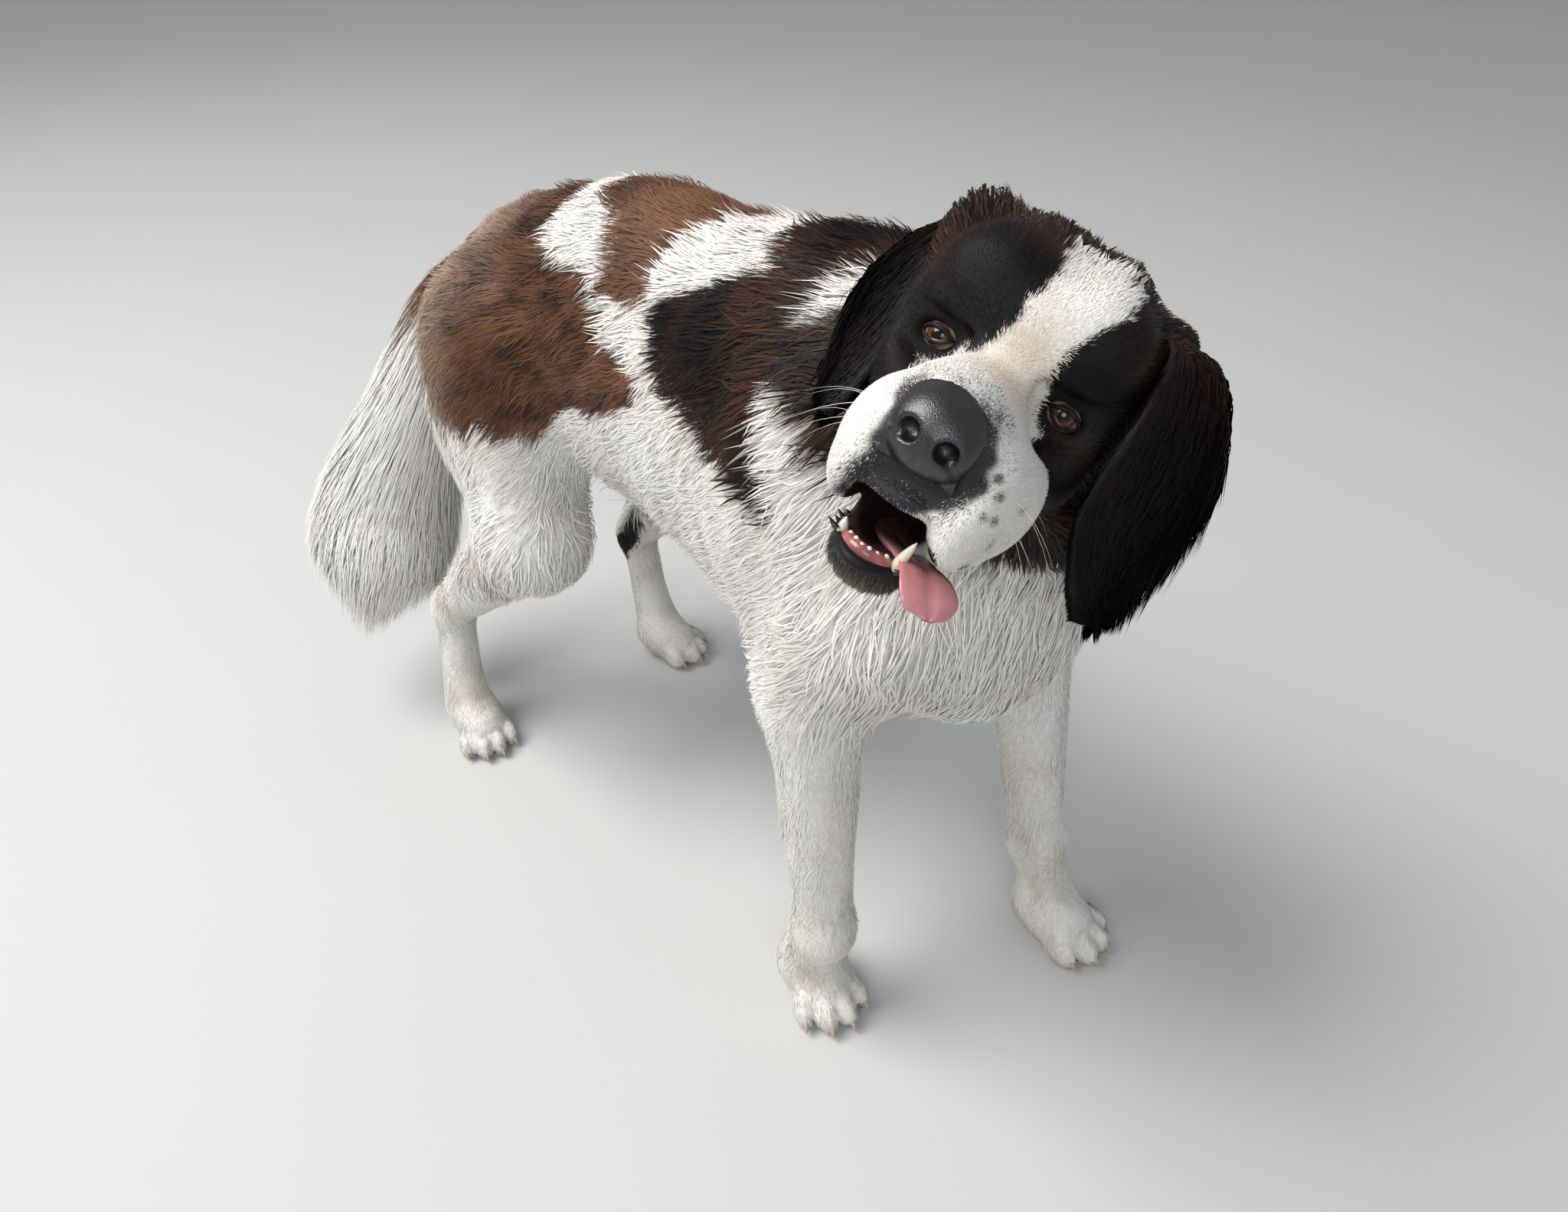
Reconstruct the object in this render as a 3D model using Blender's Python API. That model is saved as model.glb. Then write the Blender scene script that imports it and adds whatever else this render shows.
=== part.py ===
"""A life-size St Bernard dog that stands with its head turned and its tail swung aside.

The flesh is a smooth union of ellipsoids and tapered limbs, made into one closed surface and parted
into nodes with thin cuts. Metres, +Z up. The dog faces -Y, its left side is +X, and it stands on Z = 0.
"""

import math
import random

import bmesh
import bpy
import numpy as np
from mathutils import Matrix, Vector

GAP = 0.0003  # left between two nodes that touch

# Paws on the floor: (x, y) of each paw's middle, and the heading of its toes in degrees to the dog's left
PAWS = {
    "right_fore": (-0.104, -0.236, -20.0),
    "left_fore": (0.136, -0.358, 4.0),
    "right_hind": (-0.146, 0.350, -14.0),
    "left_hind": (0.149, 0.325, 22.0),
}

# The head's own frame: origin between the eyes, X to its left, Y to its back, Z to its crown
HEAD_AT = Vector((-0.121, -0.389, 0.742))
HEAD_FACES = Vector((-0.839, -0.409, 0.359))
HEAD_LEFT = Vector((0.269, -0.885, -0.381))

EYE_AT = (0.0430, 0.0119, 0.0)  # the left eye's middle, in the head's frame
EYE_RADIUS = 0.0125
EYE_OUTWARD = 18.0  # degrees that an eye looks outward

BODY_STEP = 0.009  # the grids' spacing
HEAD_STEP = 0.0026
TAIL_STEP = 0.007
BODY_FACES = 4200  # triangles kept of each surface
HEAD_FACES_KEPT = 3900
TAIL_FACES = 360
FAR = 1.0

SEED = 11
LOCK_ROWS = 4  # rings along a lock
LOCK_THICK = 0.0045  # half a lock's thickness at its middle

# Colour, roughness
COATS = {
    "white_coat": ((0.80, 0.77, 0.71), 0.75),
    "brown_coat": ((0.16, 0.06, 0.03), 0.70),
    "black_coat": ((0.020, 0.017, 0.016), 0.60),
    "nose_leather": ((0.018, 0.018, 0.020), 0.35),
    "tongue_skin": ((0.60, 0.20, 0.20), 0.35),
    "eye": ((0.10, 0.035, 0.012), 0.05),
}


def head_matrix():
    """The head's frame as a matrix of the dog's."""
    back = -HEAD_FACES.normalized()
    left = (HEAD_LEFT - HEAD_LEFT.dot(back) * back).normalized()
    up = left.cross(back)
    return Matrix.Translation(HEAD_AT) @ Matrix((left, back, up)).transposed().to_4x4()


HEAD = head_matrix()


def in_head(x, y, z):
    """A place given in the head's frame, in the dog's."""
    return HEAD @ Vector((x, y, z))


class Blob:
    """One piece of flesh: a signed distance, the box that it matters in, and how softly it joins the rest."""

    def __init__(self, low, high, distance, blend, cuts=False):
        self.low, self.high, self.distance = np.array(low), np.array(high), distance
        self.blend, self.cuts = blend, cuts


def ellipsoid(centre, radii, turn=None, blend=0.03, cuts=False):
    """An ellipsoid. turn is the matrix of its own axes."""
    centre, radii = np.array(centre), np.array(radii)
    axes = np.array(turn.to_3x3() if turn else Matrix.Identity(3))

    def distance(points):
        own = (points - centre) @ axes
        near = np.linalg.norm(own / radii, axis=-1)
        slope = np.linalg.norm(own / radii**2, axis=-1) + 1e-9
        return near * (near - 1) / slope

    reach = np.abs(axes) @ radii
    return Blob(centre - reach, centre + reach, distance, blend, cuts)


def limb(start, end, start_radius, end_radius, blend=0.03, flat=1.0, across=(1, 0, 0), cuts=False):
    """A tapered limb with round ends, flattened across one direction to that share of its width."""
    a, b = np.array(start), np.array(end)
    across = np.array(across, float) / np.linalg.norm(across)
    along = b - a

    def distance(points):
        own = points - a
        own = own + np.outer(own.reshape(-1, 3) @ across, across).reshape(own.shape) * (1 / flat - 1)
        squeezed = along + across * (along @ across) * (1 / flat - 1)
        share = np.clip(own @ squeezed / (squeezed @ squeezed), 0, 1)
        radius = start_radius + (end_radius - start_radius) * share
        return (np.linalg.norm(own - share[..., None] * squeezed, axis=-1) - radius) * min(1.0, flat)

    reach = max(start_radius, end_radius) * max(1.0, flat)
    return Blob(np.minimum(a, b) - reach, np.maximum(a, b) + reach, distance, blend, cuts)


def field_of(blobs, low, high, step):
    """The blobs' joint signed distance on a grid, closed at the grid's sides."""
    counts = np.ceil((np.array(high) - low) / step).astype(int) + 1
    field = np.full(counts, FAR)
    margin = 0.04
    for blob in blobs:
        first = np.clip(np.floor((blob.low - margin - low) / step).astype(int), 0, counts)
        last = np.clip(np.ceil((blob.high + margin - low) / step).astype(int) + 1, 0, counts)
        if (last <= first).any():
            continue
        axes = [low[i] + step * np.arange(first[i], last[i]) for i in range(3)]
        points = np.stack(np.meshgrid(*axes, indexing="ij"), -1)
        part = tuple(slice(first[i], last[i]) for i in range(3))
        field[part] = joined(field[part], blob.distance(points), blob.blend, blob.cuts)
    for axis in range(3):
        for side in (0, -1):
            rim = [slice(None)] * 3
            rim[axis] = side
            field[tuple(rim)] = np.maximum(field[tuple(rim)], step)
    return settled(field)


def settled(field):
    """The field without grid squares whose corners change side twice, where the surface would touch itself."""
    for _ in range(30):
        found = 0
        for u, v in ((0, 1), (1, 2), (0, 2)):
            corners = []
            for du, dv in ((0, 0), (1, 0), (1, 1), (0, 1)):
                part = [slice(None)] * 3
                part[u] = slice(du, field.shape[u] - 1 + du)
                part[v] = slice(dv, field.shape[v] - 1 + dv)
                corners.append(field[tuple(part)])
            a, b, c, d = [corner < 0 for corner in corners]
            places = np.argwhere((a == c) & (b == d) & (a != b))
            found += len(places)
            values = np.abs([corner[tuple(places.T)] for corner in corners])
            nearest = np.argmin(values, axis=0)
            places[:, u] += np.isin(nearest, (1, 2))
            places[:, v] += np.isin(nearest, (2, 3))
            spots = tuple(np.unique(places, axis=0).T)
            field[spots] = np.where(field[spots] < 0, 1e-5, -1e-5)
        if not found:
            break
    return field


def joined(old, new, blend, cuts):
    """Smooth union of two distances, or the smooth cut of the new one out of the old."""
    if cuts:
        return -joined(-old, new, blend, False)
    overlap = np.maximum(blend - np.abs(old - new), 0) / blend
    return np.minimum(old, new) - overlap**2 * blend / 4


def surface(field, low, step):
    """The closed surface where the field is zero, as (points, quads): one point in each cell that it crosses."""
    inside = field < 0
    cells = np.array(field.shape) - 1
    total, count = np.zeros((*cells, 3)), np.zeros(cells)
    quads = []
    for axis in range(3):
        u, v = (axis + 1) % 3, (axis + 2) % 3
        lower = [slice(None)] * 3
        upper = [slice(None)] * 3
        lower[axis], upper[axis] = slice(None, -1), slice(1, None)
        a, b = field[tuple(lower)], field[tuple(upper)]
        edges = np.argwhere(inside[tuple(lower)] != inside[tuple(upper)])
        values_a, values_b = a[tuple(edges.T)], b[tuple(edges.T)]
        crossing = edges.astype(float)
        crossing[:, axis] += values_a / (values_a - values_b)
        corners = []
        for du, dv in ((-1, -1), (0, -1), (0, 0), (-1, 0)):
            cell = edges.copy()
            cell[:, u] += du
            cell[:, v] += dv
            np.add.at(total, tuple(cell.T), crossing)
            np.add.at(count, tuple(cell.T), 1)
            corners.append(np.ravel_multi_index(tuple(cell.T), cells))
        quad = np.stack(corners, 1)
        falls = values_a < 0
        quad[~falls] = quad[~falls][:, ::-1]
        quads.append(quad)
    quads = np.concatenate(quads)
    used, quads = np.unique(quads, return_inverse=True)
    points = total.reshape(-1, 3)[used] / count.reshape(-1, 1)[used]
    return points * step + low, quads.reshape(-1, 4)


def linked(name, mesh):
    made = bpy.data.objects.new(name, mesh)
    bpy.context.scene.collection.objects.link(made)
    return made


def mesh_object(name, points, faces):
    """An object of these points and faces, in triangles."""
    mesh = bpy.data.meshes.new(name)
    mesh.from_pydata(np.asarray(points).tolist(), [], np.asarray(faces).tolist())
    return linked(name, mesh)


def applied(thing):
    """The object, with its modifiers applied to its mesh."""
    graph = bpy.context.evaluated_depsgraph_get()
    mesh = bpy.data.meshes.new_from_object(thing.evaluated_get(graph), depsgraph=graph)
    thing.modifiers.clear()
    thing.data = mesh
    return thing


def blobs_to_object(name, blobs, step, faces, low=None, high=None):
    """A mesh object of the blobs' surface, thinned to about that many triangles."""
    solid = [blob for blob in blobs if not blob.cuts]
    low = np.min([blob.low for blob in solid], axis=0) - 3 * step if low is None else np.array(low)
    high = np.max([blob.high for blob in solid], axis=0) + 3 * step if high is None else np.array(high)
    points, quads = surface(field_of(blobs, low, high, step), low, step)
    made = mesh_object(name, points, quads)
    thin = made.modifiers.new("thin", "DECIMATE")
    thin.ratio = faces / (2 * len(quads))
    return largest_piece(applied(made))


def largest_piece(thing):
    """Keeps only the object's largest closed surface."""
    shape = bmesh.new()
    shape.from_mesh(thing.data)
    left = set(shape.verts)
    pieces = []
    while left:
        piece, edge = set(), [next(iter(left))]
        while edge:
            vert = edge.pop()
            if vert in piece:
                continue
            piece.add(vert)
            edge.extend(link.other_vert(vert) for link in vert.link_edges)
        left -= piece
        pieces.append(piece)
    pieces.sort(key=len)
    for piece in pieces[:-1]:
        bmesh.ops.delete(shape, geom=list(piece), context="VERTS")
    shape.to_mesh(thing.data)
    shape.free()
    return thing


def copied(thing, name):
    return linked(name, thing.data.copy())


def removed(thing):
    bpy.data.objects.remove(thing)


def boolean(thing, cutter, operation):
    """The object joined with, cut by or kept inside the cutter, which is left in place."""
    step = thing.modifiers.new(operation.lower(), "BOOLEAN")
    step.operation, step.object, step.solver = operation, cutter, "EXACT"
    return applied(thing)


def cell(name, planes, grow=0.0):
    """A convex cutter: the part of a 4 m cube behind every plane (a point on it, and its outward normal)."""
    shape = bmesh.new()
    bmesh.ops.create_cube(shape, size=4.0)
    for point, normal in planes:
        normal = Vector(normal).normalized()
        place = Vector(point) + normal * grow
        everything = shape.verts[:] + shape.edges[:] + shape.faces[:]
        cut = bmesh.ops.bisect_plane(shape, geom=everything, plane_co=place, plane_no=normal, clear_outer=True)
        edges = [item for item in cut["geom_cut"] if isinstance(item, bmesh.types.BMEdge)]
        bmesh.ops.contextual_create(shape, geom=edges)
    bmesh.ops.recalc_face_normals(shape, faces=shape.faces)
    mesh = bpy.data.meshes.new(name)
    shape.to_mesh(mesh)
    shape.free()
    return linked(name, mesh)


def parted(whole, name, planes):
    """Cuts the part inside the planes off the whole and returns it as its own object."""
    inner, outer = cell("inner", planes), cell("outer", planes, GAP)
    part = copied(whole, name)
    boolean(part, inner, "INTERSECT")
    boolean(whole, outer, "DIFFERENCE")
    removed(inner)
    removed(outer)
    largest_piece(whole)
    return largest_piece(part)


def carved(whole, make):
    """Cuts a slightly grown copy of a piece, make(grow), out of the whole."""
    cutter = make(GAP)
    boolean(whole, cutter, "DIFFERENCE")
    removed(cutter)
    return largest_piece(whole)


def smooth_path(points, count):
    """That many places along a smooth curve through the points, each with any further values of theirs."""
    points = np.array(points, float)
    padded = np.vstack([2 * points[0] - points[1], points, 2 * points[-1] - points[-2]])
    places = np.linspace(0, len(points) - 1, count)
    made = []
    for place in places:
        i = min(int(place), len(points) - 2)
        t = place - i
        a, b, c, d = padded[i : i + 4]
        made.append(0.5 * (2 * b + (c - a) * t + (2 * a - 5 * b + 4 * c - d) * t**2 + (3 * b - a - 3 * c + d) * t**3))
    return np.array(made)


def flap(name, rows, across, count, sides, grow=0.0):
    """A closed flap along a path. Each row is x, y, z, half width, half thickness and how deep it is cupped."""
    rows = smooth_path(rows, count)
    across = np.array(across, float)
    points, faces = [], []
    for i, (x, y, z, width, thick, cup) in enumerate(rows):
        ahead = rows[min(i + 1, count - 1), :3] - rows[max(i - 1, 0), :3]
        ahead = ahead / np.linalg.norm(ahead)
        side = across - ahead * (across @ ahead)
        side = side / np.linalg.norm(side)
        out = np.cross(side, ahead)
        end = -grow if i == 0 else grow if i == count - 1 else 0.0
        for corner in range(sides):
            angle = 2 * math.pi * corner / sides
            bend = cup * math.cos(angle) ** 2
            own = side * (width + grow) * math.cos(angle) + out * ((thick + grow) * math.sin(angle) - bend)
            points.append(np.array((x, y, z)) + own + ahead * end)
    for i in range(count - 1):
        for corner in range(sides):
            a, b = i * sides + corner, i * sides + (corner + 1) % sides
            faces.append((a, b, b + sides, a + sides))
    shape = bmesh.new()
    verts = [shape.verts.new(point) for point in points]
    for face in faces:
        shape.faces.new([verts[i] for i in face])
    shape.faces.new(verts[:sides][::-1])
    shape.faces.new(verts[-sides:])
    bmesh.ops.triangulate(shape, faces=shape.faces)
    bmesh.ops.recalc_face_normals(shape, faces=shape.faces)
    mesh = bpy.data.meshes.new(name)
    shape.to_mesh(mesh)
    shape.free()
    return linked(name, mesh)


def both_sides(make):
    """The blobs that make(side) gives for the left side, 1, and the right side, -1."""
    return [blob for side in (1, -1) for blob in make(side)]


def trunk_blobs():
    def shoulder(side):
        advance = -0.045 if side > 0 else 0.0
        wide = 0.010 if side > 0 else 0.0
        return [
            ellipsoid((side * (0.100 + wide), -0.205 + advance, 0.540), (0.052, 0.100, 0.150), blend=0.05),
            limb(
                (side * (0.095 + wide), -0.290 + advance, 0.500),
                (side * (0.108 + wide), -0.215 + advance, 0.400),
                0.064,
                0.050,
                blend=0.05,
            ),
        ]

    return [
        ellipsoid((0, -0.115, 0.558), (0.138, 0.215, 0.192)),
        ellipsoid((0, 0.080, 0.574), (0.122, 0.230, 0.172), blend=0.05),
        ellipsoid((0, 0.260, 0.575), (0.112, 0.150, 0.120), blend=0.06),
        ellipsoid((0, -0.190, 0.670), (0.080, 0.120, 0.080), blend=0.05),
        ellipsoid((0.004, -0.296, 0.503), (0.112, 0.102, 0.142), blend=0.06),
        *both_sides(shoulder),
    ]


def neck_blobs():
    return [
        limb((0.0, -0.220, 0.600), (0.000, -0.320, 0.672), 0.122, 0.096, blend=0.06),
        limb((0.0, -0.270, 0.540), (-0.020, -0.365, 0.640), 0.110, 0.080, blend=0.06),
    ]


def leg_joints():
    """Where each leg bends, from its top down."""
    return {
        "right_fore": [(-0.116, -0.235, 0.395), (-0.119, -0.256, 0.130)],
        "left_fore": [(0.112, -0.285, 0.385), (0.128, -0.322, 0.130)],
        "right_hind": [(-0.085, 0.270, 0.560), (-0.118, 0.190, 0.370), (-0.136, 0.385, 0.185)],
        "left_hind": [(0.085, 0.270, 0.560), (0.118, 0.190, 0.370), (0.142, 0.375, 0.185)],
    }


def paw_blobs(name):
    x, y, heading = PAWS[name]
    hind = name.endswith("hind")
    size = 0.88 if hind else 0.94
    turn = Matrix.Rotation(math.radians(heading), 4, "Z")
    place = Matrix.Translation((x, y, 0)) @ turn @ Matrix.Scale(size, 4)

    def at(*offset):
        return place @ Vector(offset)

    blobs = [ellipsoid(at(0, 0.006, 0.032), np.array((0.038, 0.050, 0.037)) * size, turn, blend=0.02)]
    for toe, (across, ahead) in enumerate(((-0.030, -0.024), (-0.0105, -0.040), (0.0105, -0.040), (0.030, -0.024))):
        spread = Matrix.Rotation(math.radians((-14, -4, 4, 14)[toe]), 4, "Z")
        radii = np.array((0.0135, 0.026, 0.024)) * size
        blobs.append(ellipsoid(at(across, ahead, 0.018), radii, turn @ spread, blend=0.006))
    return blobs


def leg_blobs(name):
    joints = leg_joints()[name]
    x, y, _ = PAWS[name]
    if name.endswith("fore"):
        elbow, wrist = joints
        return [
            limb(elbow, wrist, 0.047, 0.031, blend=0.03),
            ellipsoid(wrist, (0.034, 0.035, 0.042), blend=0.015),
            limb(wrist, (x, y + 0.018, 0.045), 0.030, 0.031, blend=0.015),
            *paw_blobs(name),
        ]
    hip, stifle, hock = joints
    return [
        ellipsoid((hip[0] * 1.05, hip[1] + 0.004, hip[2] - 0.075), (0.068, 0.108, 0.160), blend=0.05),
        limb(hip, stifle, 0.082, 0.060, blend=0.04),
        limb(stifle, hock, 0.055, 0.029, blend=0.035),
        ellipsoid((hock[0], hock[1] + 0.006, hock[2]), (0.026, 0.030, 0.032), blend=0.015),
        limb(hock, (x, y + 0.026, 0.045), 0.028, 0.029, blend=0.015),
        *paw_blobs(name),
    ]


TAIL_PATH = [
    (-0.005, 0.385, 0.598),
    (-0.040, 0.445, 0.523),
    (-0.087, 0.490, 0.396),
    (-0.136, 0.510, 0.285),
    (-0.170, 0.500, 0.215),
]
TAIL_WIDE = [0.044, 0.055, 0.072, 0.096, 0.100]  # half the brush's width at each of those places


TAIL_ACROSS = Vector((0.80, -0.60, 0.0))  # the way that the brush is wide
TAIL_FLAT = 0.70  # the brush's depth, as a share of its width
TAIL_CORE = 0.45  # the core's width, as a share of the brush's
TAIL_CLEAR = 0.034  # how far the brush keeps off the thighs


def tail_blobs():
    """The core of the tail, under its locks."""
    wide = [TAIL_CORE * value for value in TAIL_WIDE]
    wide[0] = TAIL_WIDE[0]
    return [
        limb(*TAIL_PATH[i : i + 2], *wide[i : i + 2], blend=0.02, flat=TAIL_FLAT, across=(0.5, 0.8, 0.3))
        for i in range(len(TAIL_PATH) - 1)
    ]


def head_egg(centre, radii, blend=0.02, cuts=False, turn=None):
    return ellipsoid(in_head(*centre), radii, HEAD @ turn if turn else HEAD, blend, cuts)


def head_bar(start, end, first, last, blend=0.02, flat=1.0, across=(1, 0, 0), cuts=False):
    turned = HEAD.to_3x3() @ Vector(across)
    return limb(in_head(*start), in_head(*end), first, last, blend, flat, turned, cuts)


def skull_blobs():
    """The skull, brows, cheeks, muzzle and flews, with the mouth cut open."""

    def side_blobs(side):
        sag = 0.010 if side > 0 else 0.0  # the left flew hangs lower, as the head is tilted to its left
        return [
            head_egg((side * 0.036, 0.018, 0.044), (0.034, 0.034, 0.032), 0.02),
            head_egg((side * 0.054, 0.050, -0.022), (0.029, 0.060, 0.048), 0.03),
            head_egg((side * 0.074, 0.078, 0.050), (0.020, 0.036, 0.030), 0.03),
            head_egg((side * (0.029 + sag), -0.062, -0.058 - sag * 0.3), (0.022, 0.046, 0.036 + sag * 0.4), 0.02),
            head_egg((side * (0.038 + sag * 0.8), -0.026, -0.056), (0.021, 0.040, 0.031), 0.02),
        ]

    return [
        head_egg((0, 0.065, 0.024), (0.082, 0.092, 0.074)),
        head_egg((0, 0.085, -0.030), (0.066, 0.075, 0.060)),
        *both_sides(side_blobs),
        head_egg((0, -0.046, -0.038), (0.041, 0.060, 0.038)),
        head_bar((0, 0.0, -0.012), (0, -0.092, -0.022), 0.023, 0.020, 0.02, 1.20),
        head_egg((0.002, -0.106, -0.033), (0.0235, 0.014, 0.020), 0.006),
        head_bar((0, -0.02, 0.086), (0, 0.07, 0.110), 0.011, 0.012, 0.03, cuts=True),
        head_bar((0, -0.120, -0.056), (0, -0.110, -0.085), 0.0025, 0.0025, 0.008, cuts=True),
    ]


def mouth_blobs():
    """The cut of the open mouth, then the lower jaw, throat and lower lip."""
    return [
        head_egg((-0.006, -0.060, -0.086), (0.0205, 0.070, 0.0175), 0.008, cuts=True),
        head_bar((0, 0.040, -0.085), (0.001, -0.060, -0.1215), 0.038, 0.027, 0.012, 0.72, (0, 0.34, 0.94)),
        head_egg((0.001, -0.045, -0.098), (0.016, 0.042, 0.012), 0.006, cuts=True),
    ]


def lid_blobs(side):
    """The lids round one eye, and the almond between them."""
    x, y, z = EYE_AT
    turn = Matrix.Rotation(math.radians(side * EYE_OUTWARD), 4, "Z") @ Matrix.Rotation(math.radians(side * 8.0), 4, "Y")
    front = turn @ Vector((0, -EYE_RADIUS, 0))
    return [
        head_egg((side * (x + 0.003), y - 0.024, z - 0.003), (0.019, 0.0115, 0.013), 0.016, cuts=True),
        head_egg((side * x, y, z), (EYE_RADIUS + 0.0035,) * 3, 0.006),
        head_egg((side * x + front.x, y + front.y * 1.4, z), (0.0122, 0.0125, 0.0075), 0.002, cuts=True, turn=turn),
    ]


def nostril_blobs(side):
    turn = Matrix.Rotation(math.radians(side * 30.0), 4, "Z")
    return [head_egg((0.002 + side * 0.0125, -0.119, -0.035), (0.0062, 0.0095, 0.0052), 0.002, cuts=True, turn=turn)]


def head_blobs():
    return skull_blobs() + mouth_blobs() + both_sides(lid_blobs) + both_sides(nostril_blobs)


def eye(side, grow=0.0):
    """One eyeball."""
    x, y, z = EYE_AT
    shape = bmesh.new()
    place = HEAD @ Matrix.Translation((side * x, y, z))
    bmesh.ops.create_uvsphere(shape, u_segments=12, v_segments=8, radius=EYE_RADIUS + grow * 1.5, matrix=place)
    bmesh.ops.triangulate(shape, faces=shape.faces)
    mesh = bpy.data.meshes.new("eye")
    shape.to_mesh(mesh)
    shape.free()
    return linked("eye_left" if side > 0 else "eye_right", mesh)


# Each row is x, y, z in the head's frame, half width, half thickness and cup. The root is sunk in the head.
LEFT_EAR = [
    (0.066, 0.074, 0.062, 0.026, 0.010, 0.004),
    (0.094, 0.060, 0.052, 0.038, 0.011, 0.010),
    (0.107, 0.048, 0.008, 0.051, 0.009, 0.014),
    (0.111, 0.044, -0.042, 0.051, 0.008, 0.012),
    (0.119, 0.044, -0.084, 0.034, 0.008, 0.008),
    (0.128, 0.045, -0.111, 0.012, 0.005, 0.001),
]
RIGHT_EAR = [
    (-0.066, 0.074, 0.060, 0.026, 0.010, -0.004),
    (-0.092, 0.064, 0.046, 0.038, 0.011, -0.008),
    (-0.098, 0.050, 0.004, 0.046, 0.009, -0.010),
    (-0.093, 0.042, -0.038, 0.042, 0.008, -0.008),
    (-0.087, 0.034, -0.072, 0.026, 0.008, -0.004),
    (-0.084, 0.026, -0.098, 0.009, 0.005, -0.001),
]


def depth_at(blobs, points):
    """How far each point is outside the blobs' joint surface."""
    points = np.atleast_2d(np.array(points, float))
    field = np.full(len(points), FAR)
    for blob in blobs:
        field = joined(field, blob.distance(points), blob.blend, blob.cuts)
    return field


def outward_at(blobs, point):
    """The surface's outward direction near the point."""
    reach = 0.002
    steps = np.vstack([np.eye(3), -np.eye(3)]) * reach
    depths = depth_at(blobs, np.array(point) + steps)
    slope = depths[:3] - depths[3:]
    return slope / np.linalg.norm(slope)


def out_of(blobs, inside, toward):
    """Where a line from inside the blobs leaves them."""
    toward = np.array(toward, float) / np.linalg.norm(toward)
    reach = np.linspace(0.0, 0.35, 350)
    depths = depth_at(blobs, np.array(inside) + reach[:, None] * toward)
    first = np.argmax(depths > 0)
    return np.array(inside) + reach[first] * toward


def kept_off(blobs, place, margin):
    """The place, moved out of the blobs to at least that margin."""
    depth = depth_at(blobs, place)[0]
    return place if depth > margin else place + outward_at(blobs, place) * (margin - depth)


def laid_path(blobs, root, lie, length, rises):
    """A lock's path over the blobs: from the root along the lie, at each height of rises above the surface."""
    place, path = np.array(root, float), []
    lie = np.array(lie, float)
    for i, rise in enumerate(rises):
        if i:
            outward = outward_at(blobs, place)
            along = lie - outward * (lie @ outward)
            place = place + along / np.linalg.norm(along) * length / (len(rises) - 1)
        for _ in range(3):
            outward = outward_at(blobs, place)
            place = place + outward * (rise - depth_at(blobs, place)[0])
        path.append(place)
    return path


def lock(path, wide, across, widest=0.25):
    """One lock: flat, widest at that share of its length and drawn to a thin tip."""
    shares = np.linspace(0, 1, len(path))
    rows = []
    for place, share in zip(path, shares):
        past = (share - widest) / (1 - widest) if share > widest else (widest - share) / (widest + 0.3)
        taper = 1.03 - past**2
        rows.append((*place, wide / 2 * taper, LOCK_THICK * (0.35 + 0.65 * taper), 0.0))
    return flap("lock", rows, across, LOCK_ROWS, 4)


def fused(thing, pieces):
    """The object joined with all the pieces, which are removed."""
    held = bpy.data.collections.new("pieces")
    for piece in pieces:
        held.objects.link(piece)
    step = thing.modifiers.new("union", "BOOLEAN")
    step.operation, step.operand_type, step.collection, step.solver = "UNION", "COLLECTION", held, "MANIFOLD"
    applied(thing)
    for piece in pieces:
        removed(piece)
    bpy.data.collections.remove(held)
    return largest_piece(thing)


def clear_of(path, margin, cells):
    """True where the path keeps that margin outside every one of the convex cells."""
    for planes in cells:
        for place in path:
            gaps = [(Vector(place) - Vector(point)).dot(Vector(normal).normalized()) for point, normal in planes]
            if max(gaps) < margin:
                return False
    return True


def laid_lock(blobs, root, lie, length, wide, rises, cells=()):
    """A lock laid over the blobs, shortened until it is clear of the cells. None where no room is left."""
    while length > 0.045:
        path = laid_path(blobs, root, lie, length, rises)
        if clear_of(path, wide / 2 + 0.004, cells):
            across = np.cross(outward_at(blobs, path[1]), path[-1] - path[0])
            return lock(path, wide, across)
        length *= 0.85
    return None


def tail_locks(draw, legs):
    """The brush: rings of locks down the tail, each from the core out to the brush's outline and past its end."""
    count = 41
    spots = smooth_path([(*place, wide) for place, wide in zip(TAIL_PATH, TAIL_WIDE)], count)
    rings, first, reach = 5, 4, 15
    made = []
    for ring in range(rings):
        start = first + ring * (count - first - 9) / (rings - 1)
        around = 5 if ring < 2 else 6
        for k in range(around):
            angle = 2 * math.pi * (k + 0.5 * (ring % 2) + draw.uniform(-0.12, 0.12)) / around
            length = reach * draw.uniform(0.9, 1.15)
            path = []
            for share, out in ((0, 0.26), (0.3, 0.74), (0.65, 0.98), (1, 1.02)):
                path.append(tail_place(spots, start + share * length, angle, out))
            path[1:] = [kept_off(legs, place, TAIL_CLEAR) for place in path[1:]]
            across = path[1] - tail_place(spots, start + 0.3 * length, angle + 0.3, 0.74)
            made.append(lock(path, draw.uniform(0.068, 0.080), across, 0.62))
    return made


def tail_place(spots, along, angle, out):
    """A place in the brush: how far along its path, the way round it, and out from its middle as a share."""
    low = int(min(along, len(spots) - 2))
    run = spots[low + 1] - spots[low]
    x, y, z, wide = spots[low] + run * (along - low)
    past = max(along - len(spots) + 4, 0) / 14
    ahead = Vector(run[:3]).normalized()
    side = (TAIL_ACROSS - TAIL_ACROSS.dot(ahead) * ahead).normalized()
    deep = ahead.cross(side) * TAIL_FLAT
    wide = max(wide, 0.060) if along > len(spots) - 2 else wide
    return np.array(Vector((x, y, z)) + (side * math.cos(angle) + deep * math.sin(angle)) * wide * out * (1 - 0.4 * past))


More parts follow.
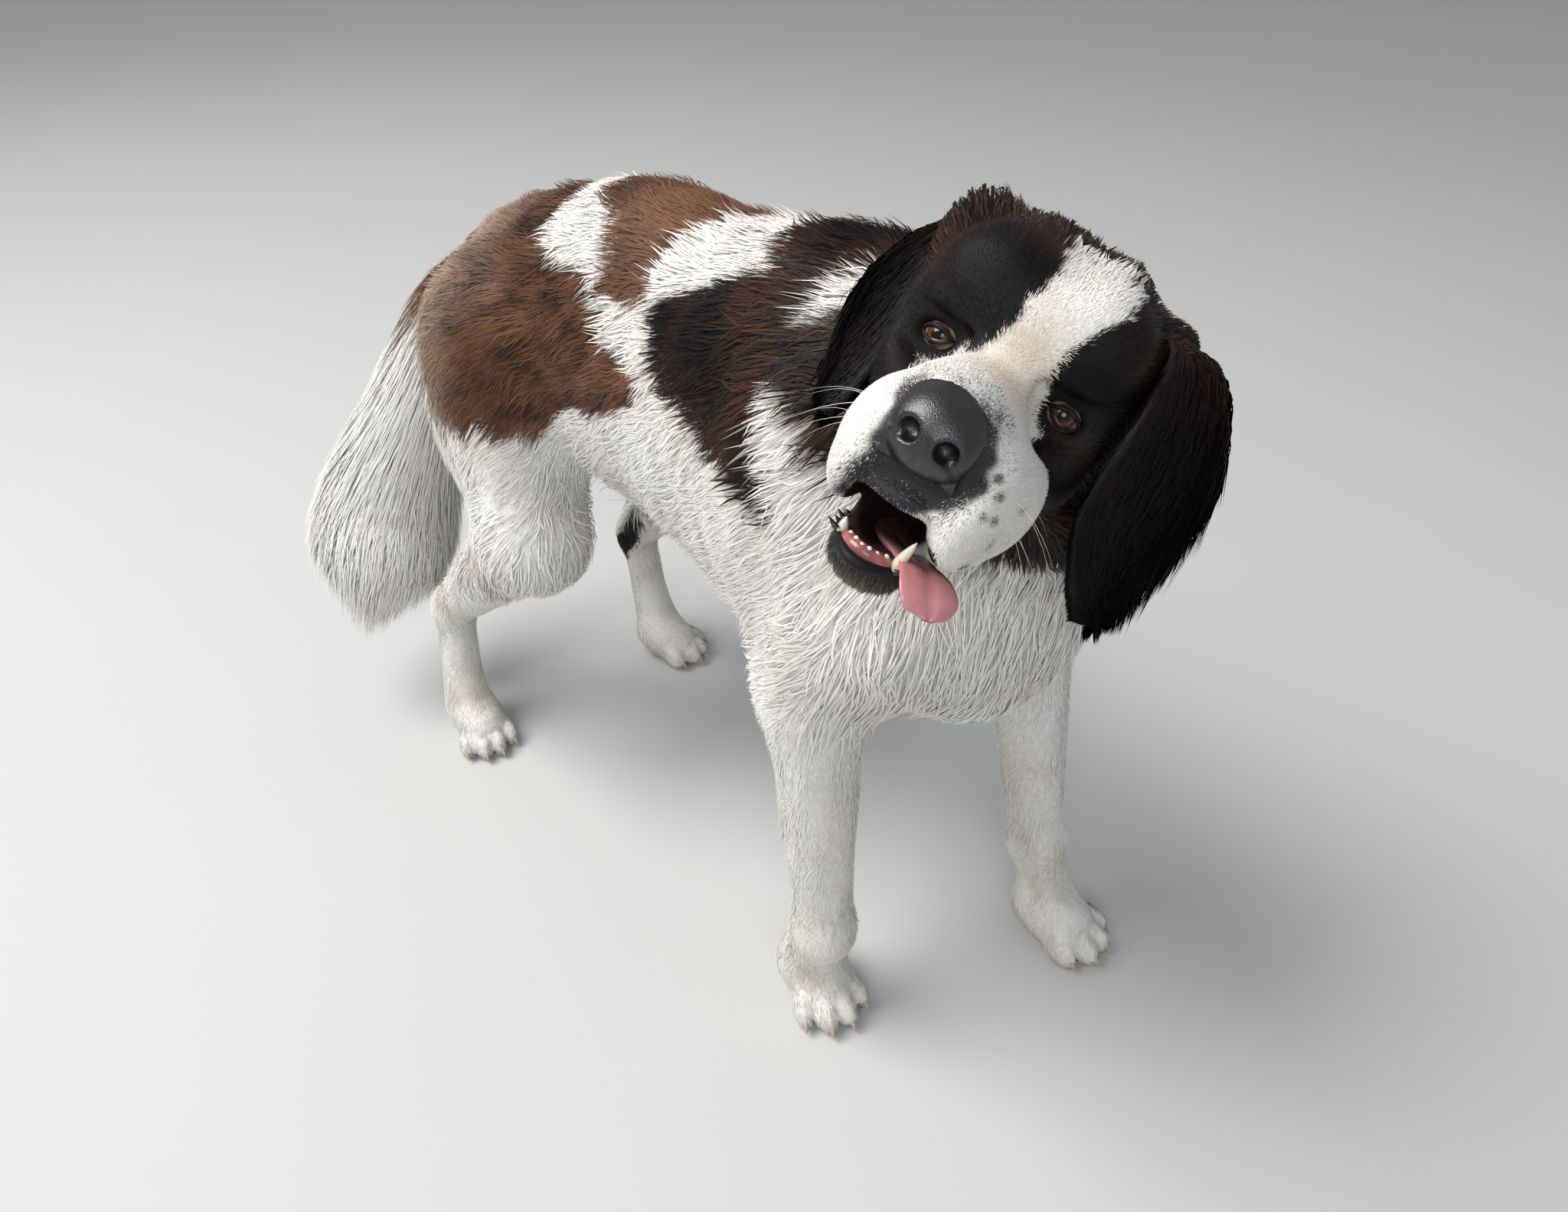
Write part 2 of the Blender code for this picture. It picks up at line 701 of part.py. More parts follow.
def breech_locks(blobs, side, draw):
    """The long hair down the back of one thigh."""
    made = []
    for row in range(5):
        for column in range(2):
            inside = (side * (0.075 + 0.038 * column), 0.290, 0.520 - 0.043 * row - 0.02 * column)
            toward = (side * (0.05 + 0.55 * column), 1.0, draw.uniform(-0.05, 0.05))
            root = out_of(blobs, inside, toward)
            lie = (side * 0.10, 0.10, -1.0)
            rises = (-0.014, 0.006, 0.013, 0.015, 0.012)
            piece = laid_lock(blobs, root, lie, draw.uniform(0.090, 0.115), draw.uniform(0.036, 0.046), rises)
            made.append(piece)
    return made


def chest_locks(blobs, draw):
    """The ruff and bib of the breast, kept off the neck's and the legs' nodes."""
    cells = [neck_cut(), head_cut(), leg_cut("left_fore"), leg_cut("right_fore")]
    made = []
    for row in range(4):
        for place in range(6):
            angle = math.radians(-64 + 25 * (place + 0.5 * (row % 2)) + draw.uniform(-4, 4))
            inside = (0.0, -0.270, 0.595 - 0.050 * row)
            toward = (math.sin(angle), -math.cos(angle), 0.0)
            root = out_of(blobs, inside, toward)
            lie = (0.25 * math.sin(angle), 0.1, -1.0)
            rises = (-0.014, 0.010, 0.017, 0.021, 0.022)
            piece = laid_lock(blobs, root, lie, draw.uniform(0.105, 0.125), draw.uniform(0.034, 0.042), rises, cells)
            made.append(piece)
    return [piece for piece in made if piece]


def ear_fringe(side, draw):
    """The hair at the ear's back and lower edges."""
    rows = smooth_path(LEFT_EAR if side > 0 else RIGHT_EAR, 25)
    toward = np.array((side * 0.68, 0.73, 0.05))
    toward = toward / np.linalg.norm(toward)
    made = []
    for at in (9, 13, 17, 20):
        x, y, z, wide = rows[at][:4]
        edge = np.array((x, y, z)) + toward * wide
        down = np.array((side * 0.02, 0.02, -1.0)) * draw.uniform(0.050, 0.062)
        steps = ((-0.016, -0.15), (-0.004, 0.2), (0.006, 0.6), (0.003, 1.0))
        path = [edge + toward * out + down * share for out, share in steps]
        made.append(placed_in_head(lock(path, 0.024, toward)))
    return made


def placed_in_head(thing):
    thing.data.transform(HEAD)
    return thing


def ear(side, grow=0.0):
    """One ear: a broad flap that folds at its base and hangs, cupped towards the head."""
    rows, name = (LEFT_EAR, "ear_left") if side > 0 else (RIGHT_EAR, "ear_right")
    return placed_in_head(flap(name, rows, (side * 0.68, 0.73, 0.05), 12, 12, grow))


TONGUE = [
    (0.000, -0.005, -0.1000, 0.014, 0.0045, 0.002),
    (0.004, -0.035, -0.1015, 0.017, 0.0045, 0.002),
    (0.020, -0.060, -0.1005, 0.018, 0.0042, 0.002),
    (0.038, -0.072, -0.1060, 0.018, 0.0038, 0.001),
    (0.048, -0.080, -0.1140, 0.017, 0.0035, 0.001),
    (0.053, -0.084, -0.1205, 0.009, 0.0025, 0.0),
]


def tongue(grow=0.0):
    """The tongue, out over the left side of the lower lip."""
    return placed_in_head(flap("tongue", TONGUE, (0.85, 0.52, 0.0), 12, 10, grow))


def finished(thing, coat):
    """Gives the object its material and smooth shading."""
    colour, roughness = COATS[coat]
    material = bpy.data.materials.get(coat)
    if material is None:
        material = bpy.data.materials.new(coat)
        material.use_nodes = True
        shader = material.node_tree.nodes["Principled BSDF"]
        shader.inputs["Base Color"].default_value = (*colour, 1)
        shader.inputs["Roughness"].default_value = roughness
        shader.inputs["Metallic"].default_value = 0.0
    thing.data.materials.clear()
    thing.data.materials.append(material)
    thing.data.shade_smooth()
    thing.data.set_sharp_from_angle(angle=math.radians(50))


def tooth(root, tip, radius):
    """One tooth: a blunt cone of six sides, given in the head's frame."""
    root, tip = Vector(root), Vector(tip)
    shape = bmesh.new()
    turn = (tip - root).to_track_quat("Z", "Y").to_matrix().to_4x4()
    place = HEAD @ Matrix.Translation((root + tip) / 2) @ turn
    bmesh.ops.create_cone(
        shape, segments=6, radius1=radius, radius2=radius * 0.35, depth=(tip - root).length, cap_ends=True, matrix=place
    )
    mesh = bpy.data.meshes.new("tooth")
    shape.to_mesh(mesh)
    shape.free()
    return linked("tooth", mesh)


def teeth():
    """The six lower incisors on their arc, and the two lower canines."""
    made = []
    for place in (-2.5, -1.5, -0.5, 0.5, 1.5, 2.5):
        x, y = 0.0048 * place, -0.0855 + 0.0011 * place**2
        made.append(tooth((x, y + 0.003, -0.118), (x * 1.05, y, -0.1025), 0.0024))
    for side in (-1, 1):
        made.append(tooth((side * 0.0185, -0.072, -0.116), (side * 0.0220, -0.079, -0.0900), 0.0042))
    return made


# The cuts: each is a list of planes, a point and an outward normal, round the part that is cut off
def turned(x, y, z):
    return HEAD.to_3x3() @ Vector((x, y, z))


def head_cut():
    return [
        (in_head(0, 0.118, 0), turned(0, 1, 0.10)),
        (in_head(0, 0.030, -0.125), turned(0, 0.35, -1)),
        (in_head(-0.088, 0.060, -0.030), turned(-1, 0.25, -0.6)),
    ]


def neck_cut():
    return [((0, -0.225, 0.740), (0, 0.62, -0.78))]


def leg_cut(name):
    side = 1 if name.startswith("left") else -1
    if name.endswith("fore"):
        return [((side * 0.050, 0, 0), (-side, 0, 0)), ((0, 0, 0.420), (0, 0, 1)), ((0, -0.12, 0.3), (0, 1, 0))]
    return [((side * 0.034, 0, 0), (-side, 0, 0)), ((0, 0.30, 0.630), (0, 0.15, 1)), ((0, 0.130, 0.45), (0, -1, -0.20))]


def jaw_cut():
    return [
        (in_head(0, -0.110, -0.0995), turned(0, -0.12, 0.99)),
        (in_head(0, 0.004, -0.080), turned(0, 1, -0.2)),
        (in_head(0.034, 0, 0), turned(1, 0, 0)),
        (in_head(-0.034, 0, 0), turned(-1, 0, 0)),
    ]


def nose_cut():
    return [
        (in_head(0, -0.1005, -0.030), turned(0, 1, 0.12)),
        (in_head(0, -0.110, -0.0545), turned(0, 0.1, -1)),
        (in_head(0.0270, -0.110, 0), turned(1, 0.15, 0)),
        (in_head(-0.0230, -0.110, 0), turned(-1, 0.15, 0)),
    ]


def tail_cut():
    """The root's plane, and sides that keep the cut off the thighs."""
    x, y, z = TAIL_PATH[0]
    return [
        ((x, y, z), (0.25, -1, 0.70)),
        ((x - 0.07, 0, 0), (-1, 0, 0)),
        ((x + 0.07, 0, 0), (1, 0, 0)),
        ((0, 0, z - 0.09), (0, 0, -1)),
    ]


def kept_inside(thing, planes):
    """Cuts away all of the object that lies outside the planes."""
    cutter = cell("inside", planes)
    boolean(thing, cutter, "INTERSECT")
    removed(cutter)
    return largest_piece(thing)


def body_parts():
    """The torso, neck and legs, out of one surface, and the tail."""
    legs = [blob for name in PAWS for blob in leg_blobs(name)]
    skin = trunk_blobs() + neck_blobs() + legs + skull_blobs() + tail_blobs()[:1]
    torso = blobs_to_object("torso", skin, BODY_STEP, BODY_FACES)
    kept_inside(torso, [((0, 0, 0), (0, 0, -1))])
    removed(parted(torso, "coarse_head", head_cut()))
    removed(parted(torso, "tail_stub", tail_cut()))
    parts = {f"leg_{name}": parted(torso, f"leg_{name}", leg_cut(name)) for name in PAWS}
    parts["neck"] = parted(torso, "neck", neck_cut())
    parts["torso"] = torso
    tail = blobs_to_object("tail", tail_blobs(), TAIL_STEP, TAIL_FACES)
    parts["tail"] = kept_inside(tail, tail_cut()[:1])
    return parts


def head_parts():
    """The head, lower jaw and nose, out of one surface, with what is set in them."""
    corners = [in_head(x, y, z) for x in (-0.12, 0.12) for y in (-0.14, 0.15) for z in (-0.17, 0.13)]
    low, high = np.min(corners, axis=0), np.max(corners, axis=0)
    blobs = trunk_blobs() + neck_blobs() + head_blobs()
    head = blobs_to_object("head", blobs, HEAD_STEP, HEAD_FACES_KEPT, low, high)
    kept_inside(head, head_cut())
    parts = {"lower_jaw": parted(head, "lower_jaw", jaw_cut())}
    parts["nose"] = parted(head, "nose", nose_cut())
    for piece in teeth():
        boolean(parts["lower_jaw"], piece, "UNION")
        removed(piece)
    for side in (1, -1):
        carved(head, lambda grow: eye(side, grow))
        carved(head, lambda grow: ear(side, grow))
    carved(head, tongue)
    carved(parts["lower_jaw"], tongue)
    parts["head"] = head
    for made in (eye(1), eye(-1), ear(1), ear(-1), tongue()):
        parts[made.name] = made
    return parts


def centred(things):
    """Moves everything so that the middle of the whole is over the origin."""
    points = np.array([vert.co for thing in things for vert in thing.data.vertices])
    middle = (points.min(axis=0) + points.max(axis=0)) / 2
    for thing in things:
        thing.data.transform(Matrix.Translation((-middle[0], -middle[1], 0)))
    return middle


LOOKS = {
    "torso": "brown_coat",
    "neck": "white_coat",
    "head": "black_coat",
    "nose": "nose_leather",
    "lower_jaw": "black_coat",
    "tongue": "tongue_skin",
    "tail": "white_coat",
    "ear_left": "black_coat",
    "ear_right": "black_coat",
    "eye_left": "eye",
    "eye_right": "eye",
    "leg_left_fore": "white_coat",
    "leg_right_fore": "white_coat",
    "leg_left_hind": "white_coat",
    "leg_right_hind": "white_coat",
}


def add_locks(parts):
    """Sets the long hair on the tail, thighs, breast and ears."""
    draw = random.Random(SEED)
    flesh = trunk_blobs() + neck_blobs() + [blob for name in PAWS for blob in leg_blobs(name)]
    fused(parts["tail"], tail_locks(draw, flesh))
    fused(parts["leg_left_hind"], breech_locks(flesh, 1, draw))
    fused(parts["leg_right_hind"], breech_locks(flesh, -1, draw))
    fused(parts["torso"], chest_locks(flesh, draw))
    fused(parts["ear_left"], ear_fringe(1, draw))
    fused(parts["ear_right"], ear_fringe(-1, draw))


def main():
    for old in list(bpy.data.objects):
        bpy.data.objects.remove(old)
    parts = body_parts() | head_parts()
    for side in (1, -1):
        carved(parts["neck"], lambda grow: ear(side, grow))
        carved(parts["torso"], lambda grow: ear(side, grow))
    add_locks(parts)
    for name, coat in LOOKS.items():
        finished(parts[name], coat)
    centred(list(parts.values()))


main()
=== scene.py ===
"""The looks of the St Bernard: one skin for all of its flesh, a coat of mesh tufts, and the face's pieces.

The flesh is the same smooth union of ellipsoids and tapered limbs as the solids, made finer and set in by
the coat's depth. Everything is worked out in the dog's own frame (metres, +Z up, it faces -Y, its left is
+X) and is moved at the end by SHIFT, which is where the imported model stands.
"""

import math

import bmesh
import bpy
import numpy as np
from mathutils import Matrix, Vector, kdtree


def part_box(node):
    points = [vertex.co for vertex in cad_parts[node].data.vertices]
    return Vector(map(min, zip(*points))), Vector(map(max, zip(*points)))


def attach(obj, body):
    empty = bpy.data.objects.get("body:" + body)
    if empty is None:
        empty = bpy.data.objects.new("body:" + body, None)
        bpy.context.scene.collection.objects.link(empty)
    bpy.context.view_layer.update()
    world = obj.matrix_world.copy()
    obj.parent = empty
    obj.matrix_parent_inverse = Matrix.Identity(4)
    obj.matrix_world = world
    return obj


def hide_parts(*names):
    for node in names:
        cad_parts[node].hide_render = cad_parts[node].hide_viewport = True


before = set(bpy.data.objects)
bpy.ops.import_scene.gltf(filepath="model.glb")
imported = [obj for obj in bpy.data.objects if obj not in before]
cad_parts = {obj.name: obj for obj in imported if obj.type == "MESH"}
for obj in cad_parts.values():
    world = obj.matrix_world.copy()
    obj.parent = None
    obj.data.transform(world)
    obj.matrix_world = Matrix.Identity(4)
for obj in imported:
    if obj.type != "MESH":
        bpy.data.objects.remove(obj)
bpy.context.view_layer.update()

draw = np.random.default_rng(7)

# Paws on the floor: (x, y) of each paw's middle, and the heading of its toes in degrees to the dog's left
PAWS = {
    "right_fore": (-0.104, -0.236, -20.0),
    "left_fore": (0.136, -0.358, 4.0),
    "right_hind": (-0.146, 0.350, -14.0),
    "left_hind": (0.149, 0.325, 22.0),
}

# The head's own frame: origin between the eyes, X to its left, Y to its back, Z to its crown
HEAD_AT = Vector((-0.121, -0.389, 0.742))
HEAD_FACES = Vector((-0.839, -0.409, 0.359))
HEAD_LEFT = Vector((0.269, -0.885, -0.381))

EYE_AT = (0.0430, 0.0119, 0.0)  # the left eye's middle, in the head's frame
EYE_RADIUS = 0.0125
EYE_OUTWARD = 18.0  # degrees that an eye looks outward
WORD = {1: "left", -1: "right"}  # the dog's sides

BODY_STEP = 0.0069
HEAD_STEP = 0.0022
NOSE_STEP = 0.0012
FAR = 1.0


def head_matrix():
    """The head's frame as a matrix of the dog's."""
    back = -HEAD_FACES.normalized()
    left = (HEAD_LEFT - HEAD_LEFT.dot(back) * back).normalized()
    up = left.cross(back)
    return Matrix.Translation(HEAD_AT) @ Matrix((left, back, up)).transposed().to_4x4()


HEAD = head_matrix()
HEAD_AXES = np.array(HEAD.to_3x3())


def in_head(x, y, z):
    """A place given in the head's frame, in the dog's."""
    return HEAD @ Vector((x, y, z))


def eye_centre(side):
    """The middle of an eye, in the head's frame."""
    return np.array((side * EYE_AT[0], EYE_AT[1], EYE_AT[2]))


def from_head(points):
    return np.asarray(points) @ HEAD_AXES.T + np.array(HEAD_AT)


def to_head(points):
    return (np.asarray(points) - np.array(HEAD_AT)) @ HEAD_AXES


def unit(vectors):
    return vectors / (np.linalg.norm(vectors, axis=-1, keepdims=True) + 1e-12)


def step_up(values, start, end):
    """0 before start, 1 after end, smooth between."""
    share = np.clip((values - start) / (end - start), 0, 1)
    return share * share * (3 - 2 * share)


def mean_eye():
    low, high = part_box("eye_left")
    return (Vector(low) + Vector(high)) / 2


SHIFT = mean_eye() - in_head(*EYE_AT)
SHIFT.z = 0.0


# The flesh, as signed distances
class Blob:
    """One piece of flesh: a signed distance, the box it matters in, and how softly it joins the rest."""

    def __init__(self, low, high, distance, blend, cuts=False):
        self.low, self.high, self.distance = np.array(low), np.array(high), distance
        self.blend, self.cuts = blend, cuts


def ellipsoid(centre, radii, turn=None, blend=0.03, cuts=False):
    """An ellipsoid. turn is the matrix of its own axes."""
    centre, radii = np.array(centre), np.array(radii)
    axes = np.array(turn.to_3x3() if turn else Matrix.Identity(3))

    def distance(points):
        own = (points - centre) @ axes
        near = np.linalg.norm(own / radii, axis=-1)
        slope = np.linalg.norm(own / radii**2, axis=-1) + 1e-9
        return near * (near - 1) / slope

    reach = np.abs(axes) @ radii
    return Blob(centre - reach, centre + reach, distance, blend, cuts)


def limb(start, end, start_radius, end_radius, blend=0.03, flat=1.0, across=(1, 0, 0), cuts=False):
    """A tapered limb with round ends, flattened across one direction to that share of its width."""
    a, b = np.array(start), np.array(end)
    across = np.array(across, float) / np.linalg.norm(across)
    along = b - a

    def distance(points):
        own = points - a
        own = own + np.outer(own.reshape(-1, 3) @ across, across).reshape(own.shape) * (1 / flat - 1)
        squeezed = along + across * (along @ across) * (1 / flat - 1)
        share = np.clip(own @ squeezed / (squeezed @ squeezed), 0, 1)
        radius = start_radius + (end_radius - start_radius) * share
        return (np.linalg.norm(own - share[..., None] * squeezed, axis=-1) - radius) * min(1.0, flat)

    reach = max(start_radius, end_radius) * max(1.0, flat)
    return Blob(np.minimum(a, b) - reach, np.maximum(a, b) + reach, distance, blend, cuts)


def joined(old, new, blend, cuts):
    """Smooth union of two distances, or the smooth cut of the new one out of the old."""
    if cuts:
        return -joined(-old, new, blend, False)
    overlap = np.maximum(blend - np.abs(old - new), 0) / blend
    return np.minimum(old, new) - overlap**2 * blend / 4


class Field:
    """A signed distance on a grid, which gives its value and its slope at any point."""

    def __init__(self, blobs, low, high, step):
        self.low, self.step = np.array(low, float), step
        counts = np.ceil((np.array(high) - low) / step).astype(int) + 1
        self.values = np.full(counts, FAR, np.float32)
        margin = 0.06
        for blob in blobs:
            first = np.clip(np.floor((blob.low - margin - low) / step).astype(int), 0, counts)
            last = np.clip(np.ceil((blob.high + margin - low) / step).astype(int) + 1, 0, counts)
            if (last <= first).any():
                continue
            part = tuple(slice(first[i], last[i]) for i in range(3))
            near = blob.distance(self.points(first, last))
            self.values[part] = joined(self.values[part], near, blob.blend, blob.cuts)

    def points(self, first=None, last=None):
        first = np.zeros(3, int) if first is None else first
        last = self.values.shape if last is None else last
        axes = [self.low[i] + self.step * np.arange(first[i], last[i]) for i in range(3)]
        return np.stack(np.meshgrid(*axes, indexing="ij"), -1)

    def at(self, points):
        """The distance at each point, between the grid's values."""
        place = (points - self.low) / self.step
        cell = np.clip(place.astype(int), 0, np.array(self.values.shape) - 2)
        share = np.clip(place - cell, 0, 1)
        total = np.zeros(len(points))
        for corner in np.ndindex(2, 2, 2):
            weight = np.prod(np.where(corner, share, 1 - share), axis=1)
            total += weight * self.values[tuple((cell + corner).T)]
        return total

    def outward(self, points):
        """The direction away from the flesh at each point."""
        reach = self.step * 1.2
        slope = np.empty_like(points)
        for axis in range(3):
            aside = np.zeros(3)
            aside[axis] = reach
            slope[:, axis] = self.at(points + aside) - self.at(points - aside)
        return unit(slope)


def tube_faces(rings, sides):
    """Quads between rings of points, each ring joined to the next."""
    here = np.arange((rings - 1) * sides)
    beside = here - here % sides + (here + 1) % sides
    return np.stack([here, beside, beside + sides, here + sides], 1)


def planes_field(points, planes):
    """How far outside the convex cell of the planes each point is."""
    gaps = [(points - np.array(point)) @ np.array(Vector(normal).normalized()) for point, normal in planes]
    return np.max(gaps, axis=0)


def surface(values, low, step):
    """Points and quads of the closed surface where the field is zero, one point in each cell it crosses."""
    values = values.astype(np.float64)
    rim = np.pad(np.zeros(np.array(values.shape) - 2, bool), 1, constant_values=True)
    values[rim] = np.maximum(values[rim], step)
    inside = values < 0
    cells = np.array(values.shape) - 1
    total, count = np.zeros((*cells, 3)), np.zeros(cells)
    quads = []
    for axis in range(3):
        u, v = (axis + 1) % 3, (axis + 2) % 3
        lower = [slice(None)] * 3
        upper = [slice(None)] * 3
        lower[axis], upper[axis] = slice(None, -1), slice(1, None)
        a, b = values[tuple(lower)], values[tuple(upper)]
        edges = np.argwhere(inside[tuple(lower)] != inside[tuple(upper)])
        values_a, values_b = a[tuple(edges.T)], b[tuple(edges.T)]
        crossing = edges.astype(float)
        crossing[:, axis] += values_a / (values_a - values_b)
        corners = []
        for du, dv in ((-1, -1), (0, -1), (0, 0), (-1, 0)):
            cell = edges.copy()
            cell[:, u] += du
            cell[:, v] += dv
            np.add.at(total, tuple(cell.T), crossing)
            np.add.at(count, tuple(cell.T), 1)
            corners.append(np.ravel_multi_index(tuple(cell.T), cells))
        quad = np.stack(corners, 1)
        falls = values_a < 0
        quad[~falls] = quad[~falls][:, ::-1]
        quads.append(quad)
    quads = np.concatenate(quads)
    used, quads = np.unique(quads, return_inverse=True)
    points = total.reshape(-1, 3)[used] / count.reshape(-1, 1)[used]
    return points * step + low, quads.reshape(-1, 4)


def both_sides(make):
    """The blobs that make(side) gives for the left side, 1, and the right side, -1."""
    return [blob for side in (1, -1) for blob in make(side)]


def shoulder_blobs(side):
    """The left shoulder stands further forward and out than the right."""
    ahead, wide = (-0.045, 0.010) if side > 0 else (0.0, 0.0)
    front = (side * (0.095 + wide), -0.290 + ahead, 0.500)
    elbow = (side * (0.108 + wide), -0.215 + ahead, 0.400)
    return [
        ellipsoid((side * (0.100 + wide), -0.205 + ahead, 0.540), (0.052, 0.100, 0.150), blend=0.05),
        limb(front, elbow, 0.064, 0.050, blend=0.05),
    ]


def trunk_blobs():
    return [
        ellipsoid((0, -0.115, 0.558), (0.138, 0.215, 0.192)),
        ellipsoid((0, 0.080, 0.574), (0.122, 0.230, 0.172), blend=0.05),
        ellipsoid((0, 0.260, 0.575), (0.112, 0.150, 0.120), blend=0.06),
        ellipsoid((0, -0.190, 0.670), (0.080, 0.120, 0.080), blend=0.05),
        ellipsoid((0.004, -0.296, 0.503), (0.112, 0.102, 0.142), blend=0.06),
        *both_sides(shoulder_blobs),
    ]


def neck_blobs():
    return [
        limb((0.0, -0.220, 0.600), (0.000, -0.320, 0.672), 0.122, 0.096, blend=0.06),
        limb((0.0, -0.270, 0.540), (-0.020, -0.365, 0.640), 0.110, 0.080, blend=0.06),
    ]


LEG_JOINTS = {  # where each leg bends, from its top down
    "right_fore": [(-0.116, -0.235, 0.395), (-0.119, -0.256, 0.130)],
    "left_fore": [(0.112, -0.285, 0.385), (0.128, -0.322, 0.130)],
    "right_hind": [(-0.085, 0.270, 0.560), (-0.118, 0.190, 0.370), (-0.136, 0.385, 0.185)],
    "left_hind": [(0.085, 0.270, 0.560), (0.118, 0.190, 0.370), (0.142, 0.375, 0.185)],
}
TOES = ((-0.030, -0.024, -14), (-0.0105, -0.040, -4), (0.0105, -0.040, 4), (0.030, -0.024, 14))


def paw_place(name):
    """The paw's own frame, with its size in it."""
    x, y, heading = PAWS[name]
    size = 0.88 if name.endswith("hind") else 0.94
    turn = Matrix.Rotation(math.radians(heading), 4, "Z")
    return Matrix.Translation((x, y, 0)) @ turn @ Matrix.Scale(size, 4), turn, size


def paw_blobs(name):
    place, turn, size = paw_place(name)
    ball = np.array((0.038, 0.050, 0.037)) * size
    blobs = [ellipsoid(place @ Vector((0, 0.006, 0.032)), ball, turn, blend=0.02)]
    for across, ahead, spread in TOES:
        radii = np.array((0.0135, 0.026, 0.024)) * size
        own = turn @ Matrix.Rotation(math.radians(spread), 4, "Z")
        blobs.append(ellipsoid(place @ Vector((across, ahead, 0.018)), radii, own, blend=0.006))
    return blobs


def leg_blobs(name):
    joints = LEG_JOINTS[name]
    x, y, _ = PAWS[name]
    if name.endswith("fore"):
        elbow, wrist = joints
        return [
            limb(elbow, wrist, 0.047, 0.031, blend=0.03),
            ellipsoid(wrist, (0.034, 0.035, 0.042), blend=0.015),
            limb(wrist, (x, y + 0.018, 0.045), 0.030, 0.031, blend=0.015),
            *paw_blobs(name),
        ]
    hip, stifle, hock = joints
    return [
        ellipsoid((hip[0] * 1.05, hip[1] + 0.004, hip[2] - 0.075), (0.068, 0.108, 0.160), blend=0.05),
        limb(hip, stifle, 0.082, 0.060, blend=0.04),
        limb(stifle, hock, 0.055, 0.029, blend=0.035),
        ellipsoid((hock[0], hock[1] + 0.006, hock[2]), (0.026, 0.030, 0.032), blend=0.015),
        limb(hock, (x, y + 0.026, 0.045), 0.028, 0.029, blend=0.015),
        *paw_blobs(name),
    ]


TAIL_PATH = [
    (-0.005, 0.385, 0.598),
    (-0.040, 0.445, 0.523),
    (-0.087, 0.490, 0.396),
    (-0.136, 0.510, 0.285),
    (-0.170, 0.500, 0.215),
]
TAIL_WIDE = [0.044, 0.055, 0.072, 0.096, 0.100]  # half the brush's width at each of those places
TAIL_ACROSS = Vector((0.80, -0.60, 0.0))  # the way that the brush is wide
TAIL_FLAT = 0.70
TAIL_CORE = 0.45


def tail_blobs():
    wide = [TAIL_CORE * value for value in TAIL_WIDE]
    wide[0] = TAIL_WIDE[0]
    return [
        limb(*TAIL_PATH[i : i + 2], *wide[i : i + 2], blend=0.02, flat=TAIL_FLAT, across=(0.5, 0.8, 0.3))
        for i in range(len(TAIL_PATH) - 1)
    ]


def head_egg(centre, radii, blend=0.02, cuts=False, turn=None):
    return ellipsoid(in_head(*centre), radii, HEAD @ turn if turn else HEAD, blend, cuts)


def head_bar(start, end, first, last, blend=0.02, flat=1.0, across=(1, 0, 0), cuts=False):
    turned = HEAD.to_3x3() @ Vector(across)
    return limb(in_head(*start), in_head(*end), first, last, blend, flat, turned, cuts)


def fold_blobs(side):
    """The folds of loose skin: over the brow, under the eye and down the cheek."""
    inner, middle = (side * 0.022, -0.012, 0.012), (side * 0.034, 0.000, 0.030)
    outer = (side * 0.056, 0.012, 0.030)
    cheek = (side * 0.064, 0.020, -0.006), (side * 0.078, 0.046, -0.050)
    soft = 0.007
    return [
        head_egg((side * 0.038, -0.004, 0.0185), (0.020, 0.010, 0.0055), 0.010),
        head_bar(inner, middle, 0.0028, 0.0022, soft, cuts=True),
        head_bar(middle, outer, 0.0022, 0.0016, soft, cuts=True),
        head_egg((side * 0.052, 0.000, -0.0225), (0.015, 0.010, 0.0075), 0.010),
        head_bar(*cheek, 0.0024, 0.0030, 0.010, cuts=True),
    ]


def skull_side(side):
    """Brow, cheek, crown's corner and flew. The left flew hangs lower, as the head is tilted that way."""
    sag, hang = (0.010, 0.0) if side > 0 else (0.0, 0.006)
    flew = (side * (0.029 + sag), -0.062, -0.058 - sag * 0.3 - hang)
    return [
        head_egg((side * 0.036, 0.018, 0.044), (0.034, 0.034, 0.032), 0.02),
        head_egg((side * 0.054, 0.050, -0.022), (0.029, 0.060, 0.048), 0.03),
        head_egg((side * 0.074, 0.078, 0.050), (0.020, 0.036, 0.030), 0.03),
        head_egg(flew, (0.022, 0.046, 0.036 + sag * 0.4), 0.02),
        head_egg((side * (0.038 + sag * 0.8), -0.026, -0.056), (0.021, 0.040, 0.031), 0.02),
    ]


def skull_blobs():
    """The skull, brows, cheeks, muzzle and flews."""
    return [
        head_egg((0, 0.065, 0.024), (0.082, 0.092, 0.074)),
        head_egg((0, 0.085, -0.030), (0.066, 0.075, 0.060)),
        *both_sides(skull_side),
        head_egg((0, -0.046, -0.038), (0.041, 0.060, 0.038)),
        head_bar((0, 0.0, -0.012), (0, -0.092, -0.022), 0.023, 0.020, 0.02, 1.20),
        head_egg((0.002, -0.106, -0.033), (0.0235, 0.014, 0.020), 0.006),
        head_bar((0, -0.02, 0.086), (0, 0.07, 0.110), 0.011, 0.012, 0.03, cuts=True),
        head_bar((0, -0.120, -0.056), (0, -0.110, -0.085), 0.0025, 0.0025, 0.008, cuts=True),
        *both_sides(fold_blobs),
    ]


